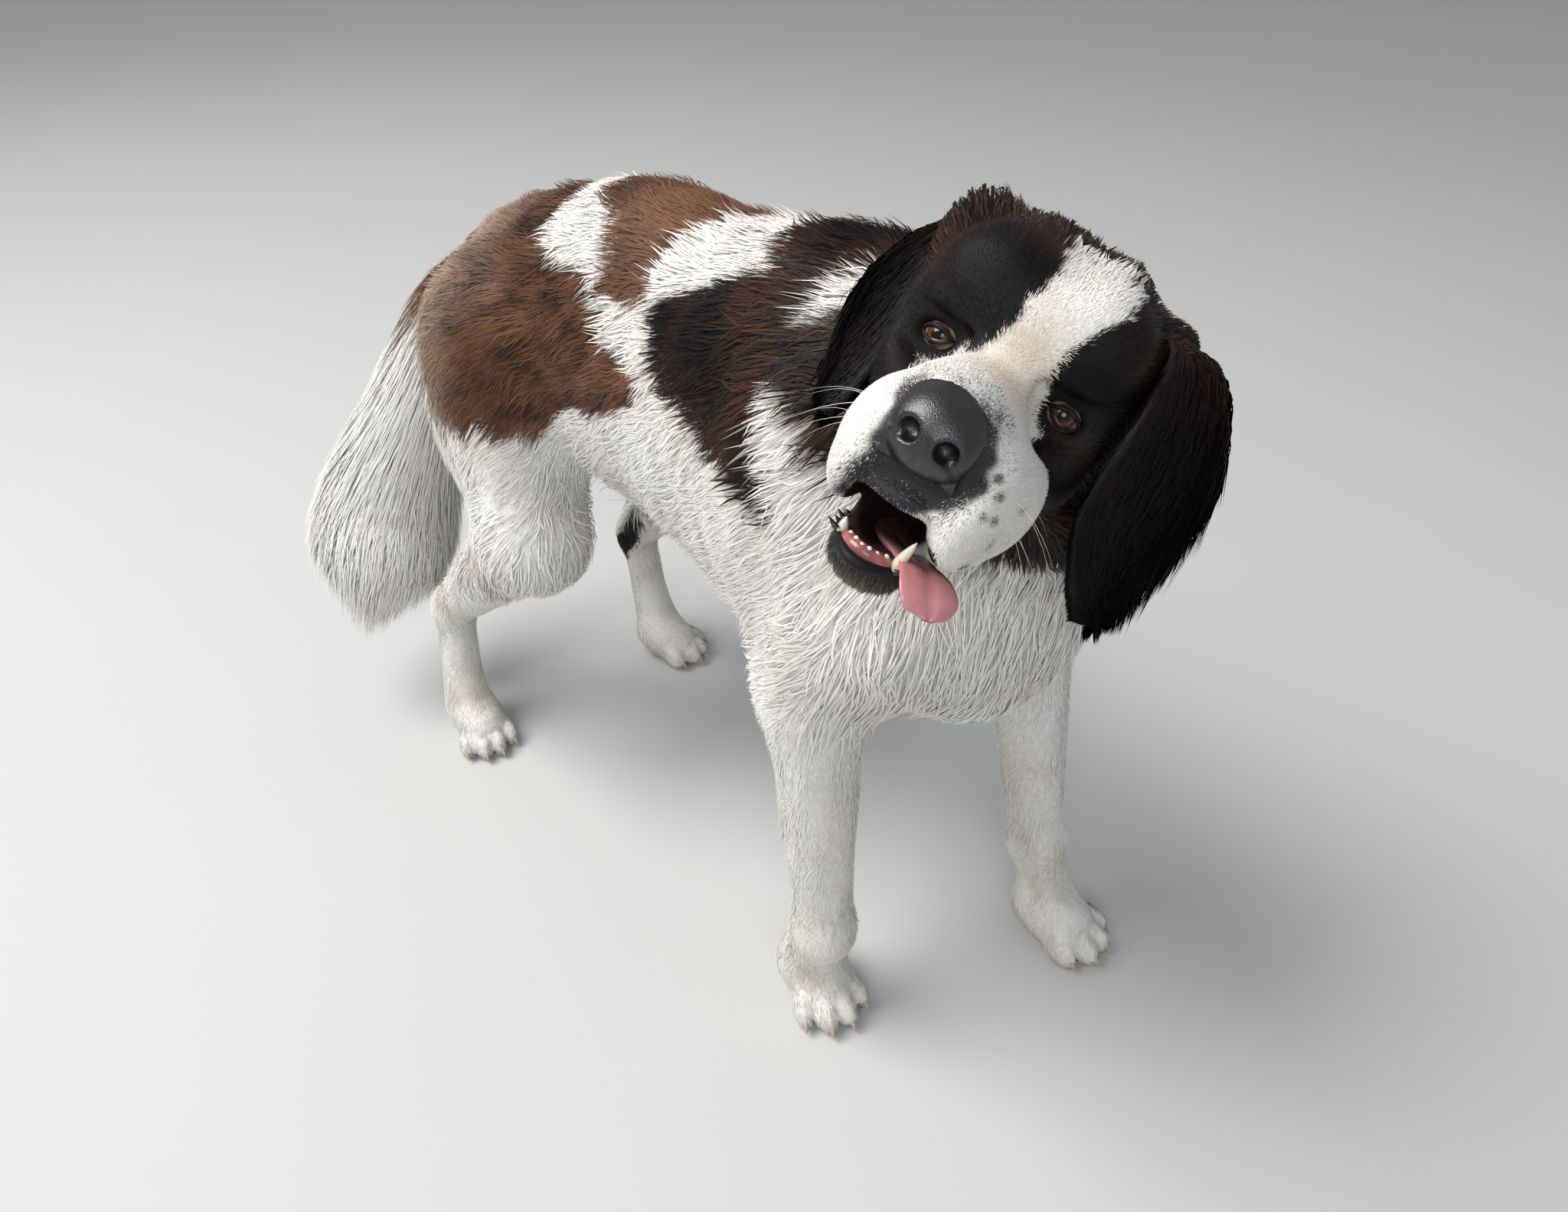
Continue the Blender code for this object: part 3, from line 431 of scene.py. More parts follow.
def mouth_blobs():
    """The cut of the open mouth, then the lower jaw, throat and lower lip."""
    return [
        head_egg((-0.006, -0.060, -0.086), (0.0205, 0.070, 0.0175), 0.008, cuts=True),
        head_egg((0.000, -0.080, -0.0715), (0.027, 0.026, 0.0085), 0.010),
        head_bar((0, 0.040, -0.085), (0.001, -0.060, -0.1215), 0.038, 0.027, 0.012, 0.72, (0, 0.34, 0.94)),
        head_egg((0.001, -0.045, -0.098), (0.016, 0.042, 0.012), 0.006, cuts=True),
    ]


def eye_turn(side):
    """How the almond between the lids is turned."""
    outward = Matrix.Rotation(math.radians(side * EYE_OUTWARD), 4, "Z")
    return outward @ Matrix.Rotation(math.radians(side * 8.0), 4, "Y")


def lid_blobs(side):
    x, y, z = EYE_AT
    turn = eye_turn(side)
    front = turn @ Vector((0, -EYE_RADIUS, 0))
    slot = (side * x + front.x, y + front.y * 1.4, z)
    return [
        head_egg((side * (x + 0.003), y - 0.024, z - 0.003), (0.019, 0.0115, 0.013), 0.016, cuts=True),
        head_egg((side * x, y, z), (EYE_RADIUS + 0.0035,) * 3, 0.006),
        head_egg(slot, (0.0122, 0.0125, 0.0056), 0.002, cuts=True, turn=turn),
    ]


def nostril_blobs(side):
    """A nostril, with the slit at its outer side."""
    turn = Matrix.Rotation(math.radians(side * 30.0), 4, "Z")
    x = 0.002 + side * 0.0125
    slit = (x + side * 0.003, -0.118, -0.038), (x + side * 0.010, -0.109, -0.044)
    return [
        head_egg((x, -0.119, -0.0345), (0.0072, 0.0095, 0.0064), 0.003, cuts=True, turn=turn),
        head_bar(*slit, 0.0028, 0.0016, 0.003, cuts=True),
    ]


def head_blobs():
    return skull_blobs() + mouth_blobs() + both_sides(lid_blobs) + both_sides(nostril_blobs)


# Markings
def outline_gap(u, v, outline):
    """How far each (u, v) is inside the outline, less than 0 outside it."""
    outline = np.array(outline)
    inside = np.zeros(len(u), bool)
    nearest = np.full(len(u), np.inf)
    for (ax, ay), (bx, by) in zip(outline, np.roll(outline, -1, axis=0)):
        crosses = (ay > v) != (by > v)
        inside ^= crosses & (u < (bx - ax) * (v - ay) / (by - ay + 1e-12) + ax)
        run = np.array((bx - ax, by - ay))
        share = np.clip(((u - ax) * run[0] + (v - ay) * run[1]) / (run @ run), 0, 1)
        nearest = np.minimum(nearest, np.hypot(u - ax - share * run[0], v - ay - share * run[1]))
    return np.where(inside, nearest, -nearest)


def waves(points, scale, seed):
    """A smooth random value from about -1 to 1, its features about that size."""
    random = np.random.default_rng(seed)
    total = np.zeros(len(points))
    for _ in range(6):
        direction = unit(random.normal(size=3)) * random.uniform(0.6, 1.6) * 2 * math.pi / scale
        total += np.sin(points @ direction + random.uniform(0, 2 * math.pi))
    return total / 3


WHITE = np.array((0.83, 0.81, 0.775))
CREAM = np.array((0.70, 0.56, 0.42))
BROWN = np.array((0.115, 0.053, 0.028))
ORANGE = np.array((0.230, 0.110, 0.062))
MAHOGANY = np.array((0.036, 0.014, 0.010))
BLACK = np.array((0.0050, 0.0048, 0.0056))
BEIGE = np.array((0.43, 0.335, 0.25))
GREY = np.array((0.040, 0.037, 0.040))
GUM = np.array((0.42, 0.13, 0.12))

GIRTH = 0.0026  # metres to a degree round the trunk
GIRTH_AT = 0.570  # the height of the axis that those degrees turn about

# Outlines on the trunk: y, and degrees round it from its top, less than 0 on its right
THIGH_RIGHT = [
    (0.060, -42), (0.036, -56), (0.008, -63), (-0.026, -69), (-0.014, -78), (0.014, -86), (0.070, -96),
    (0.124, -107), (0.158, -122), (0.205, -113), (0.30, -112), (0.42, -100), (0.44, 0), (0.36, 60),
    (0.20, 12), (0.165, -8), (0.175, -24), (0.170, -35), (0.120, -36), (0.085, -38),
]
SADDLE_BACK = [
    (0.060, -42), (0.062, -33), (0.074, -24), (0.10, -16), (0.135, -8), (0.13, 20), (0.05, 45),
    (-0.05, 30), (-0.055, 4), (-0.030, -5), (-0.012, -17), (0.003, -32), (-0.012, -39), (0.030, -44),
]
RIBS_RIGHT = [
    (-0.020, -38), (-0.033, -52), (-0.034, -60), (-0.058, -65), (-0.095, -71), (-0.139, -77),
    (-0.184, -82), (-0.226, -90), (-0.220, -78), (-0.203, -65), (-0.196, -52), (-0.214, -47),
    (-0.208, -37), (-0.206, -28), (-0.200, -17), (-0.245, -10), (-0.270, 10), (-0.240, 40), (-0.150, 20),
    (-0.115, 0), (-0.105, -8), (-0.128, -20), (-0.088, -27), (-0.036, -34),
]
MANTLE_LEFT = [
    (0.30, 20), (0.36, 66), (0.27, 104), (0.16, 112), (0.08, 96), (0.05, 72), (-0.02, 66), (-0.10, 76),
    (-0.19, 84), (-0.225, 70), (-0.215, 44), (-0.24, 24), (-0.18, 14), (-0.02, 20), (0.06, 34),
    (0.12, 26), (0.20, 8),
]

# Outlines on the face, in the head's x and z
BLAZE = [
    (-0.013, 0.086), (0.003, 0.082), (0.024, 0.085), (0.040, 0.079), (0.043, 0.064), (0.036, 0.052),
    (0.031, 0.040), (0.024, 0.031), (0.028, 0.018), (0.030, 0.004), (0.036, -0.010), (0.040, -0.030),
    (-0.046, -0.030), (-0.044, -0.014), (-0.034, -0.003), (-0.020, 0.004), (-0.008, 0.016),
    (-0.004, 0.031), (-0.006, 0.045), (-0.002, 0.057), (-0.008, 0.072),
]
NOSE_DARK = [
    (-0.031, -0.022), (-0.022, -0.011), (-0.004, -0.004), (0.013, -0.005), (0.026, -0.013),
    (0.035, -0.027), (0.038, -0.043), (0.036, -0.056), (0.026, -0.066), (0.012, -0.078), (-0.010, -0.095),
    (-0.032, -0.090), (-0.027, -0.073), (-0.027, -0.055), (-0.029, -0.040),
]
TICKS = [
    (0.041, -0.096, -0.034, 0.0030), (0.047, -0.098, -0.041, 0.0028), (0.046, -0.104, -0.053, 0.0022),
    (0.052, -0.097, -0.053, 0.0026), (0.053, -0.082, -0.085, 0.0034), (0.060, -0.072, -0.046, 0.0022),
    (0.044, -0.096, -0.064, 0.0022), (0.056, -0.083, -0.066, 0.0020), (0.037, -0.100, -0.070, 0.0024),
]


def mixed(colours, other, share):
    """The first colour or direction, or each point's own, with that share of the other in it."""
    return colours + (other - colours) * np.clip(share, 0, 1)[:, None]


def brown_coat(points, rough):
    """The brown of the back and thighs: banded, with orange and black hairs, and beige at the rear."""
    y, z = points.T[1:]
    bands = waves(points * np.array((0.7, 0.7, 1.4)), 0.045, 6) + 0.8 * rough
    brown = mixed(BROWN, ORANGE, 0.40 * waves(points, 0.07, 5) + 0.35 * rough + 0.10)
    brown = mixed(brown, BLACK * 2, 0.80 * step_up(bands, 0.0, 1.2))
    rear = step_up(y, 0.21, 0.32) * step_up(z, 0.42, 0.54)
    brown = mixed(brown, BEIGE, rear * (0.78 + 0.22 * rough))
    top = step_up(z, 0.62, 0.70) * step_up(0.31 - y, 0.0, 0.06)
    return mixed(brown, BLACK * 2, 0.55 * top * step_up(waves(points, 0.06, 11) + 0.6 * rough, -0.6, 0.9))


def dark_coat(points, rough):
    """The near black of the ribs and mantle, with mahogany in it and browner at the withers."""
    y, z = points.T[1:]
    dark = mixed(BLACK, MAHOGANY, 0.35 + 0.7 * waves(points, 0.08, 7) + 0.3 * rough)
    warm = np.exp(-(((y + 0.165) / 0.05) ** 2 + ((z - 0.675) / 0.06) ** 2))
    return mixed(dark, BROWN, warm * (0.25 + 0.25 * rough))


def stained(colours, points, rough):
    """The cream stains of the white coat: on the feet, under the mouth and on the fore legs."""
    x, y, z = points.T
    legs = step_up(0.30 - z, 0.0, 0.10) * step_up(waves(points, 0.06, 8) + 0.5 * rough, 0.5, 1.4)
    colours = mixed(colours, CREAM * 0.8, 0.5 * legs)
    drool = np.exp(-(((x - 0.02) / 0.07) ** 2 + ((z - 0.52) / 0.09) ** 2)) * step_up(-y, 0.32, 0.38)
    streaks = step_up(waves(points * np.array((1, 1, 0.4)), 0.03, 18) + 0.7 * rough, 0.3, 1.3)
    return mixed(colours, CREAM * 0.75, 0.7 * drool * streaks)


LEG_SHADE_AT = np.array((0.108, 0.348, 0.212))  # the middle of the black strip of painted shade inside the left hind leg, and the way that it runs
LEG_SHADE_RUN = unit(np.array((0.012, 0.075, -0.102)))


def painted_leg_shade(points, edge):
    """Whether each point is in the black strip of painted shade inside the left hind leg."""
    strip = LEG_SHADE_AT - points
    aside = np.linalg.norm(strip - (strip @ LEG_SHADE_RUN)[:, None] * LEG_SHADE_RUN, axis=1)
    inside_leg = (points[:, 0] > 0) & (points[:, 0] < 0.130)
    return (aside < 0.017 + edge) & (np.abs(strip @ LEG_SHADE_RUN) < 0.062) & inside_leg


def body_marks(points, rough):
    """The coat's colour on the trunk, neck and legs. rough is a random value for each point, -1 to 1."""
    x, y, z = points.T
    round_it = np.degrees(np.arctan2(x, z - GIRTH_AT)) * GIRTH
    edge = 0.004 * waves(points, 0.05, 3) + 0.004 * rough
    soft = 0.004

    def inside(outline):
        outline = [(along, degrees * GIRTH) for along, degrees in outline]
        return step_up(outline_gap(y, round_it, outline) + edge, -soft, soft)

    trunk = z > 0.43
    brown, dark = brown_coat(points, rough), dark_coat(points, rough)
    colours = mixed(WHITE, CREAM, 0.10 + 0.12 * waves(points, 0.09, 4))
    colours = mixed(colours, brown, np.where(trunk, inside(THIGH_RIGHT), 0))
    orange = np.exp(-(((y - 0.015) / 0.07) ** 2 + ((x + 0.02) / 0.07) ** 2))
    back = mixed(brown, ORANGE, orange * (0.7 + 0.4 * rough))
    colours = mixed(colours, back, np.where(z > 0.5, inside(SADDLE_BACK), 0))
    colours = mixed(colours, dark, np.where(z > 0.5, inside(RIBS_RIGHT), 0))
    left = mixed(dark, brown, step_up(y, 0.0, 0.14))
    colours = mixed(colours, left, np.where(trunk & (x > -0.03), inside(MANTLE_LEFT), 0))
    colours = stained(colours, points, rough)
    # painted shade: black down the inner side of the left hind leg, between the legs
    colours = np.where(painted_leg_shade(points, edge)[:, None], BLACK * 1.5, colours)
    fore = step_up(-y, 0.10, 0.18) * step_up(0.24 - z, 0.0, 0.06)
    streaks = step_up(waves(points, 0.035, 15) + 0.6 * rough, 0.3, 1.3)
    return mixed(colours, CREAM * 0.7, 0.35 * fore * streaks)


def tail_marks(points, rough):
    """White, with a brown and beige root."""
    colours = mixed(WHITE, CREAM, 0.06 + 0.12 * waves(points, 0.08, 9))
    root = step_up(points[:, 2] + 0.02 * waves(points, 0.07, 10) + 0.018 * rough, 0.475, 0.575)
    return mixed(mixed(colours, CREAM * 0.45, root), BROWN, step_up(root, 0.6, 1.0))


def head_marks(points, rough):
    """The face's colour: black with a white blaze and muzzle, and dark fur round the nose."""
    own = to_head(points)
    x, y, z = own.T
    edge = 0.0022 * waves(points, 0.02, 12) + 0.0022 * rough
    soft = 0.0018
    sheen = step_up(y, -0.04, 0.06) * step_up(waves(points, 0.045, 13) + 0.6 * rough, -0.7, 1.2)
    colours = mixed(BLACK, MAHOGANY * 1.2, 0.8 * sheen)
    colours = mixed(colours, BROWN * 0.9, 0.55 * step_up(y, -0.02, 0.05) * step_up(rough, 0.35, 1.0))
    colours = mixed(colours, BROWN, 0.45 * sheen * step_up(x, 0.03, 0.09) * step_up(z, 0.02, 0.07))
    fluff = step_up(z, 0.060, 0.095) * step_up(y, 0.0, 0.04)
    colours = mixed(colours, BROWN, fluff * (0.30 + 0.30 * rough))
    blaze = step_up(outline_gap(x, z, BLAZE) + edge, -soft, soft) * (y < 0.045)
    muzzle = step_up(-0.017 - y - 0.12 * np.abs(x) + edge, -soft, soft) * (z < -0.004)
    white = mixed(WHITE, CREAM, 0.08 + 0.10 * waves(points, 0.03, 14))
    tan = np.exp(-(((x - 0.006) / 0.018) ** 2 + ((z - 0.015) / 0.028) ** 2)) * (y > -0.065)
    white = mixed(white, CREAM * 1.05, 0.75 * tan)
    colours = mixed(colours, white, np.maximum(blaze, muzzle))
    dark = step_up(outline_gap(x, z, NOSE_DARK) + edge + 0.0055 * rough, -0.0025, 0.0025) * (y < -0.068)
    pale = np.where(rough > 0.72, 4.0, 1.0)[:, None]
    colours = mixed(colours, GREY * (1.0 + 0.7 * rough[:, None]) * pale, dark)
    for tx, ty, tz, radius in TICKS:
        gap = np.sqrt((x - tx) ** 2 + (y - ty) ** 2 * 0.3 + (z - tz) ** 2)
        colours = mixed(colours, GREY, 0.85 * step_up(radius - gap + 0.0006 * rough, -0.0012, 0.0012))
    jaw = (z < -0.0985 - 0.12 * (y + 0.110)) & (y < 0.004) & (np.abs(x) < 0.036)
    chin = mixed(GREY * 0.6, CREAM * 0.35, step_up(-z, 0.118, 0.142))
    colours = np.where(jaw[:, None], chin, colours)
    return colours


def neck_blend(points):
    """1 on the head, 0 on the neck and trunk."""
    own = to_head(points)
    return 1 - step_up(own[:, 1] + 0.25 * np.maximum(-own[:, 2] - 0.07, 0) * 4, 0.112, 0.124)


def marks(points, rough):
    """The colour of the coat anywhere on the dog but its ears and tail."""
    return mixed(body_marks(points, rough), head_marks(points, rough), neck_blend(points))


# How the coat lies and how deep it is
def coat_depth(points):
    """How far the skin lies under the coat's outline."""
    z = points[:, 2]
    body = 0.0025 + 0.0035 * step_up(z, 0.05, 0.12) + 0.005 * step_up(z, 0.34, 0.46)
    own = to_head(points)
    face = 0.0016 + 0.0034 * step_up(own[:, 1], -0.03, 0.05) + 0.003 * step_up(own[:, 1], 0.06, 0.12)
    return body + (face - body) * neck_blend(points) * (np.linalg.norm(own, axis=1) < 0.19)


def body_lie(points, normals):
    """The way that the hair of the trunk, neck and legs lies."""
    x, y, z = points.T
    ones = np.ones(len(points))
    lie = np.stack([0 * ones, ones, -0.30 - 0.5 * step_up(np.abs(x), 0.05, 0.13)], 1)
    down = np.stack([0.10 * np.sign(x), 0.12 * ones, -ones], 1)
    front = step_up(-y, 0.20, 0.30) * step_up(-normals[:, 1], -0.2, 0.5)
    legs = step_up(0.44 - z, 0.0, 0.10)
    thigh = step_up(y, 0.16, 0.28) * step_up(0.60 - z, 0.0, 0.10)
    lie = mixed(lie, down, front + legs + thigh)
    lie = mixed(lie, np.array((0.0, -0.8, -0.6)), step_up(0.055 - z, 0.0, 0.02))
    neck = step_up(-y, 0.20, 0.26) * step_up(z, 0.60, 0.68)
    return mixed(lie, np.array((0.0, 0.75, -0.65)), neck)


def head_lie(points, normals):
    """The way that the hair of the head lies, from the nose backwards and away from the eyes."""
    own = to_head(points)
    x, y, z = own.T
    ones = np.ones(len(x))
    flews = step_up(-z, 0.035, 0.065) * step_up(-y, -0.03, 0.03)
    hanging = np.stack([x * 3, 0.55 * ones, -ones], 1)
    lie = mixed(np.stack([x * 6, ones, 0.2 + 4.0 * z], 1), hanging, flews)
    for side in (1, -1):
        away = own - eye_centre(side)
        near = np.exp(-((np.linalg.norm(away, axis=1) / 0.026) ** 2))
        lie = mixed(lie, unit(away) + np.array((0, 0.35, 0)), near)
    return lie @ HEAD_AXES.T


def trunk_hair(points, normals):
    """Length and lift of the longer hair that lies in locks over the trunk's short hair."""
    ruffle = np.clip(0.6 + 0.7 * waves(points * np.array((1, 1, 0.5)), 0.05, 17), 0.15, 1.4)
    neck = step_up(-points[:, 1], 0.12, 0.20) * step_up(points[:, 2], 0.60, 0.68)
    length = 0.034 + 0.012 * neck + 0.006 * step_up(-normals[:, 2], 0.2, 0.8)
    return length, (0.0075 + 0.004 * neck) * ruffle


def breast_share(points, normals):
    """1 where the long hair of the breast and throat grows, 0 away from it."""
    y, z = points.T[1:]
    facing = step_up(-normals[:, 1] - 0.3 * normals[:, 2], -0.3, 0.3)
    return step_up(-y, 0.21, 0.30) * step_up(z, 0.37, 0.45) * facing


def stifle_share(points):
    """1 on the outer side of the lower thigh, where long hair hangs over the stifle."""
    x, y, z = points.T
    thigh = step_up(z, 0.26, 0.31) * step_up(0.45 - z, 0.0, 0.05)
    return thigh * step_up(y, 0.05, 0.11) * step_up(np.abs(x), 0.03, 0.07)


def breech_share(points, normals):
    """1 where the long hair behind the thighs grows, 0 away from it."""
    y, z = points.T[1:]
    behind = step_up(normals[:, 1], 0.0, 0.6) * step_up(y, 0.22, 0.32)
    return behind * step_up(z, 0.22, 0.32) * step_up(0.58 - z, 0.0, 0.05)


def body_hair(points, normals):
    """Length and lift of the short hair of the trunk, neck and legs."""
    y, z = points.T[1:]
    length = 0.022 + 0.007 * step_up(-normals[:, 2], 0.0, 0.6) + 0.006 * breast_share(points, normals)
    neck = step_up(-y, 0.17, 0.22) * step_up(z, 0.60, 0.68)
    length = length + 0.010 * neck
    low = step_up(0.42 - z, 0.0, 0.12)
    short = 0.013 + 0.010 * step_up(normals[:, 1], 0.3, 0.8)
    length = length + (short - length) * low
    stifle = step_up(0.42 - z, -0.04, 0.03) * step_up(z, 0.25, 0.31) * step_up(y, 0.06, 0.12)
    length = length + 0.014 * stifle
    length = length + (0.009 - length) * step_up(0.075 - z, 0.0, 0.03)
    ruffle = np.clip(1 + 0.55 * waves(points * np.array((1, 1, 0.5)), 0.04, 16), 0.3, 2)
    return length, (0.15 * ruffle + 0.10 * neck) * length


def long_hair(points, normals):
    """Length and lift of the locks on the breast and behind the thighs."""
    breech = breech_share(points, normals)
    length = 0.046 + 0.010 * breast_share(points, normals) + 0.010 * breech
    length = length * draw.uniform(0.75, 1.15, len(points))
    return length, 0.0075 + 0.006 * breech


EYE_HAIR = 0.0032  # the length of the hair at the lids


def head_hair(points, normals):
    """Length and lift of the hair of the head."""
    own = to_head(points)
    x, y, z = own.T
    length = 0.0052 + 0.009 * step_up(y, -0.03, 0.05) + 0.011 * step_up(y, 0.05, 0.12)
    length = length - 0.0022 * step_up(-y, 0.070, 0.095) * step_up(z, -0.062, -0.054)
    top = step_up(z, 0.070, 0.100) * step_up(y, 0.0, 0.05)
    crown = np.exp(-(((x + 0.065) / 0.04) ** 2 + ((y - 0.07) / 0.035) ** 2 + ((z - 0.075) / 0.03) ** 2))
    length = length + 0.012 * crown + 0.010 * top + 0.006 * step_up(-z, 0.105, 0.125)
    for side in (1, -1):
        away = np.linalg.norm(own - eye_centre(side), axis=1)
        length = EYE_HAIR + (length - EYE_HAIR) * step_up(away, 0.014, 0.027)
    return length, 0.20 * length + 0.40 * length * np.maximum(crown, top)


# Meshes from arrays
def added(name, data):
    """A new object of the scene with that data."""
    made = bpy.data.objects.new(name, data)
    bpy.context.scene.collection.objects.link(made)
    return made


def mesh_from(name, points, faces, tint=None, uv=None, normals=None):
    """An object of triangles or quads. tint is one colour or each point's; uv is each corner's."""
    points, faces = np.asarray(points, np.float32), np.asarray(faces, np.int32)
    mesh = bpy.data.meshes.new(name)
    mesh.vertices.add(len(points))
    mesh.vertices.foreach_set("co", (points + np.array(SHIFT, np.float32)).ravel())
    mesh.loops.add(faces.size)
    mesh.loops.foreach_set("vertex_index", faces.ravel())
    mesh.polygons.add(len(faces))
    mesh.polygons.foreach_set("loop_start", np.arange(0, faces.size, faces.shape[1], dtype=np.int32))
    mesh.polygons.foreach_set("use_smooth", np.ones(len(faces), bool))
    if tint is not None:
        colours = np.ones((len(points), 4), np.float32)
        colours[:, :3] = tint
        mesh.attributes.new("tint", "FLOAT_COLOR", "POINT").data.foreach_set("color", colours.ravel())
    if uv is not None:
        mesh.uv_layers.new(name="OFBake").uv.foreach_set("vector", np.asarray(uv, np.float32).ravel())
    mesh.update(calc_edges=True)
    if normals is not None:
        mesh.normals_split_custom_set_from_vertices(np.asarray(normals, np.float32))
    return added(name, mesh)


def tuft_faces(rings):
    """The triangles of one tuft: rings of three points, closed at the root and drawn to one tip."""
    faces = [(0, 2, 1)]
    for ring in range(rings - 1):
        for k in range(3):
            a, b = 3 * ring + k, 3 * ring + (k + 1) % 3
            faces += [(a, b, b + 3), (a, b + 3, a + 3)]
    last = 3 * (rings - 1)
    faces += [(last + k, last + (k + 1) % 3, last + 3) for k in range(3)]
    return np.array(faces)[:, ::-1]


SOFTNESS = 0.78  # how much a tuft is shaded as the form under it, and not as itself
ROUNDNESS = 0.40  # how far its two edges turn away from each other
ROOT_SHADE, TIP_LIGHT = 0.86, 0.18  # painted shade: how bright a tuft is at its root, where the tufts shade one another, and how much more at its tip
PATCH = 0.003  # a tuft's size on OFBake


def tufts(name, paths, normals, width, tint, unwrap):
    """One object of many tufts. paths is (count, rings + 1, 3); unwrap is each root's place on OFBake."""
    count, steps, _ = paths.shape
    rings = steps - 1
    shares = np.arange(rings) / rings
    points = np.empty((count, 3 * rings + 1, 3))
    facing = np.empty_like(points)
    for ring in range(rings):
        ahead = unit(paths[:, ring + 1] - paths[:, max(ring - 1, 0)])
        side = unit(np.cross(ahead, normals))
        up = np.cross(side, ahead)
        half = width * (0.5 * (1 - shares[ring] ** 1.6))
        here = paths[:, ring]
        points[:, 3 * ring] = here - side * half[:, None]
        points[:, 3 * ring + 1] = here + side * half[:, None]
        points[:, 3 * ring + 2] = here + up * (0.55 * half)[:, None]
        soft = unit(up * (1 - SOFTNESS) + normals * SOFTNESS)
        facing[:, 3 * ring] = unit(soft - side * ROUNDNESS)
        facing[:, 3 * ring + 1] = unit(soft + side * ROUNDNESS)
        facing[:, 3 * ring + 2] = soft
    points[:, -1] = paths[:, -1]
    facing[:, -1] = soft
    own = tuft_faces(rings)
    faces = (own[None] + (np.arange(count) * (3 * rings + 1))[:, None, None]).reshape(-1, 3)
    along = np.append(np.repeat(shares, 3), 1.0)
    across = np.append(np.tile((-1.0, 1.0, 0.0), rings), 0.0)
    spread = np.stack([across, 2 * along - 1], 1) * PATCH / 2
    uv = (unwrap[:, None, :] + spread[None])[:, own].reshape(-1, 2)
    # painted shade: each tuft darker at its root and lighter towards its tip
    shade = ROOT_SHADE + TIP_LIGHT * along
    colours = np.clip(tint[:, None] * shade[None, :, None], 0, 0.9)
    return mesh_from(name, points.reshape(-1, 3), faces, colours.reshape(-1, 3), uv, facing.reshape(-1, 3))


def clumped(paths, pull, spacing):
    """Draws the tips of neighbouring tufts together, as hair gathers in locks."""
    if paths.shape[1] < 3:
        return paths
    roots = paths[:, 1]
    chosen = draw.permutation(len(roots))[: max(8, len(roots) // spacing)]
    tree = kdtree.KDTree(len(chosen))
    for i, index in enumerate(chosen):
        tree.insert(roots[index], i)
    tree.balance()
    nearest = chosen[[tree.find(root)[1] for root in roots]]
    steps = paths.shape[1]
    for k in range(2, steps):
        share = pull * ((k - 1) / (steps - 2)) ** 1.2
        paths[:, k] += (paths[nearest, k] - paths[:, k]) * share
    return paths


def scattered(points, quads, density):
    """Random roots on a surface, that many to a square metre at each quad, and their outward normals."""
    a, b, c, d = points[quads.T]
    cross = np.cross(c - a, d - b)
    area = np.linalg.norm(cross, axis=1) / 2
    wanted = area * density
    counts = np.floor(wanted + draw.random(len(wanted))).astype(int)
    which = np.repeat(np.arange(len(quads)), counts)
    u, v = draw.random(len(which))[:, None], draw.random(len(which))[:, None]
    places = (a[which] * (1 - u) + b[which] * u) * (1 - v) + (d[which] * (1 - u) + c[which] * u) * v
    return places, unit(cross)[which]


ROOT_DEPTH = 0.0012  # how far the tufts start inside the skin
SWIRL = 0.25  # how much the lie wanders from place to place


def laid(field, offset, roots, normals, lie, length, lift, rings):
    """Paths over the field, whose skin is at that offset: along the lie, and higher up to the lift."""
    count = len(roots)
    jitter = draw.normal(size=(count, 3)) * 0.10
    swirl = np.stack([waves(roots, 0.06, 20 + i) for i in range(3)], 1) * SWIRL
    lie = unit(lie) + jitter + swirl
    paths = np.empty((count, rings + 1, 3))
    place = roots - normals * ROOT_DEPTH
    paths[:, 0] = place
    outward = normals
    for k in range(1, rings + 1):
        along = unit(lie - outward * np.sum(lie * outward, axis=1, keepdims=True))
        place = place + along * (length / rings)[:, None]
        outward = field.outward(place)
        height = lift * (1 - (1 - k / rings) ** 1.7) * draw.uniform(0.75, 1.25, count)
        place = place + outward * (height - offset - field.at(place))[:, None]
        paths[:, k] = place
    return paths


def closed_tube(points, radii, sides=8):
    """Points and quads of a tube along a path."""
    points, radii = np.asarray(points, float), np.asarray(radii, float)
    ahead = unit(np.gradient(points, axis=0))
    side = unit(np.cross(ahead[0], (0.3, 0.5, 0.8)))
    angles = 2 * math.pi * np.arange(sides) / sides
    made = []
    for i in range(len(points)):
        side = unit(side - ahead[i] * (side @ ahead[i]))
        up = np.cross(ahead[i], side)
        ring = np.cos(angles)[:, None] * side + np.sin(angles)[:, None] * up
        made.append(points[i] + ring * radii[i])
    return np.concatenate(made), tube_faces(len(points), sides)


def tube_bundle(tubes, sides):
    """Points and quads of many such tubes, each given as its path and its radii."""
    made = [closed_tube(path, radii, sides) for path, radii in tubes]
    starts = np.cumsum([0] + [len(points) for points, _ in made[:-1]])
    faces = [own + start for (_, own), start in zip(made, starts)]
    return np.concatenate([points for points, _ in made]), np.concatenate(faces)


# Materials
def set_inputs(node, **values):
    """Sets inputs of a node. An underscore in a value's name stands for a space in the input's."""
    for word, value in values.items():
        node.inputs[word.replace("_", " ")].default_value = value
    return node


def add_node(made, kind, **values):
    return set_inputs(made.node_tree.nodes.new(kind), **values)


def add_relief(made, texture, output, strength, distance):
    """Lifts the material's surface by a texture in the object's own space."""
    nodes, links = made.node_tree.nodes, made.node_tree.links
    links.new(nodes["Texture Coordinate"].outputs["Object"], texture.inputs["Vector"])
    lift = add_node(made, "ShaderNodeBump", Strength=strength, Distance=distance)
    links.new(texture.outputs[output], lift.inputs["Height"])
    links.new(lift.outputs["Normal"], nodes["Principled BSDF"].inputs["Normal"])
    return lift


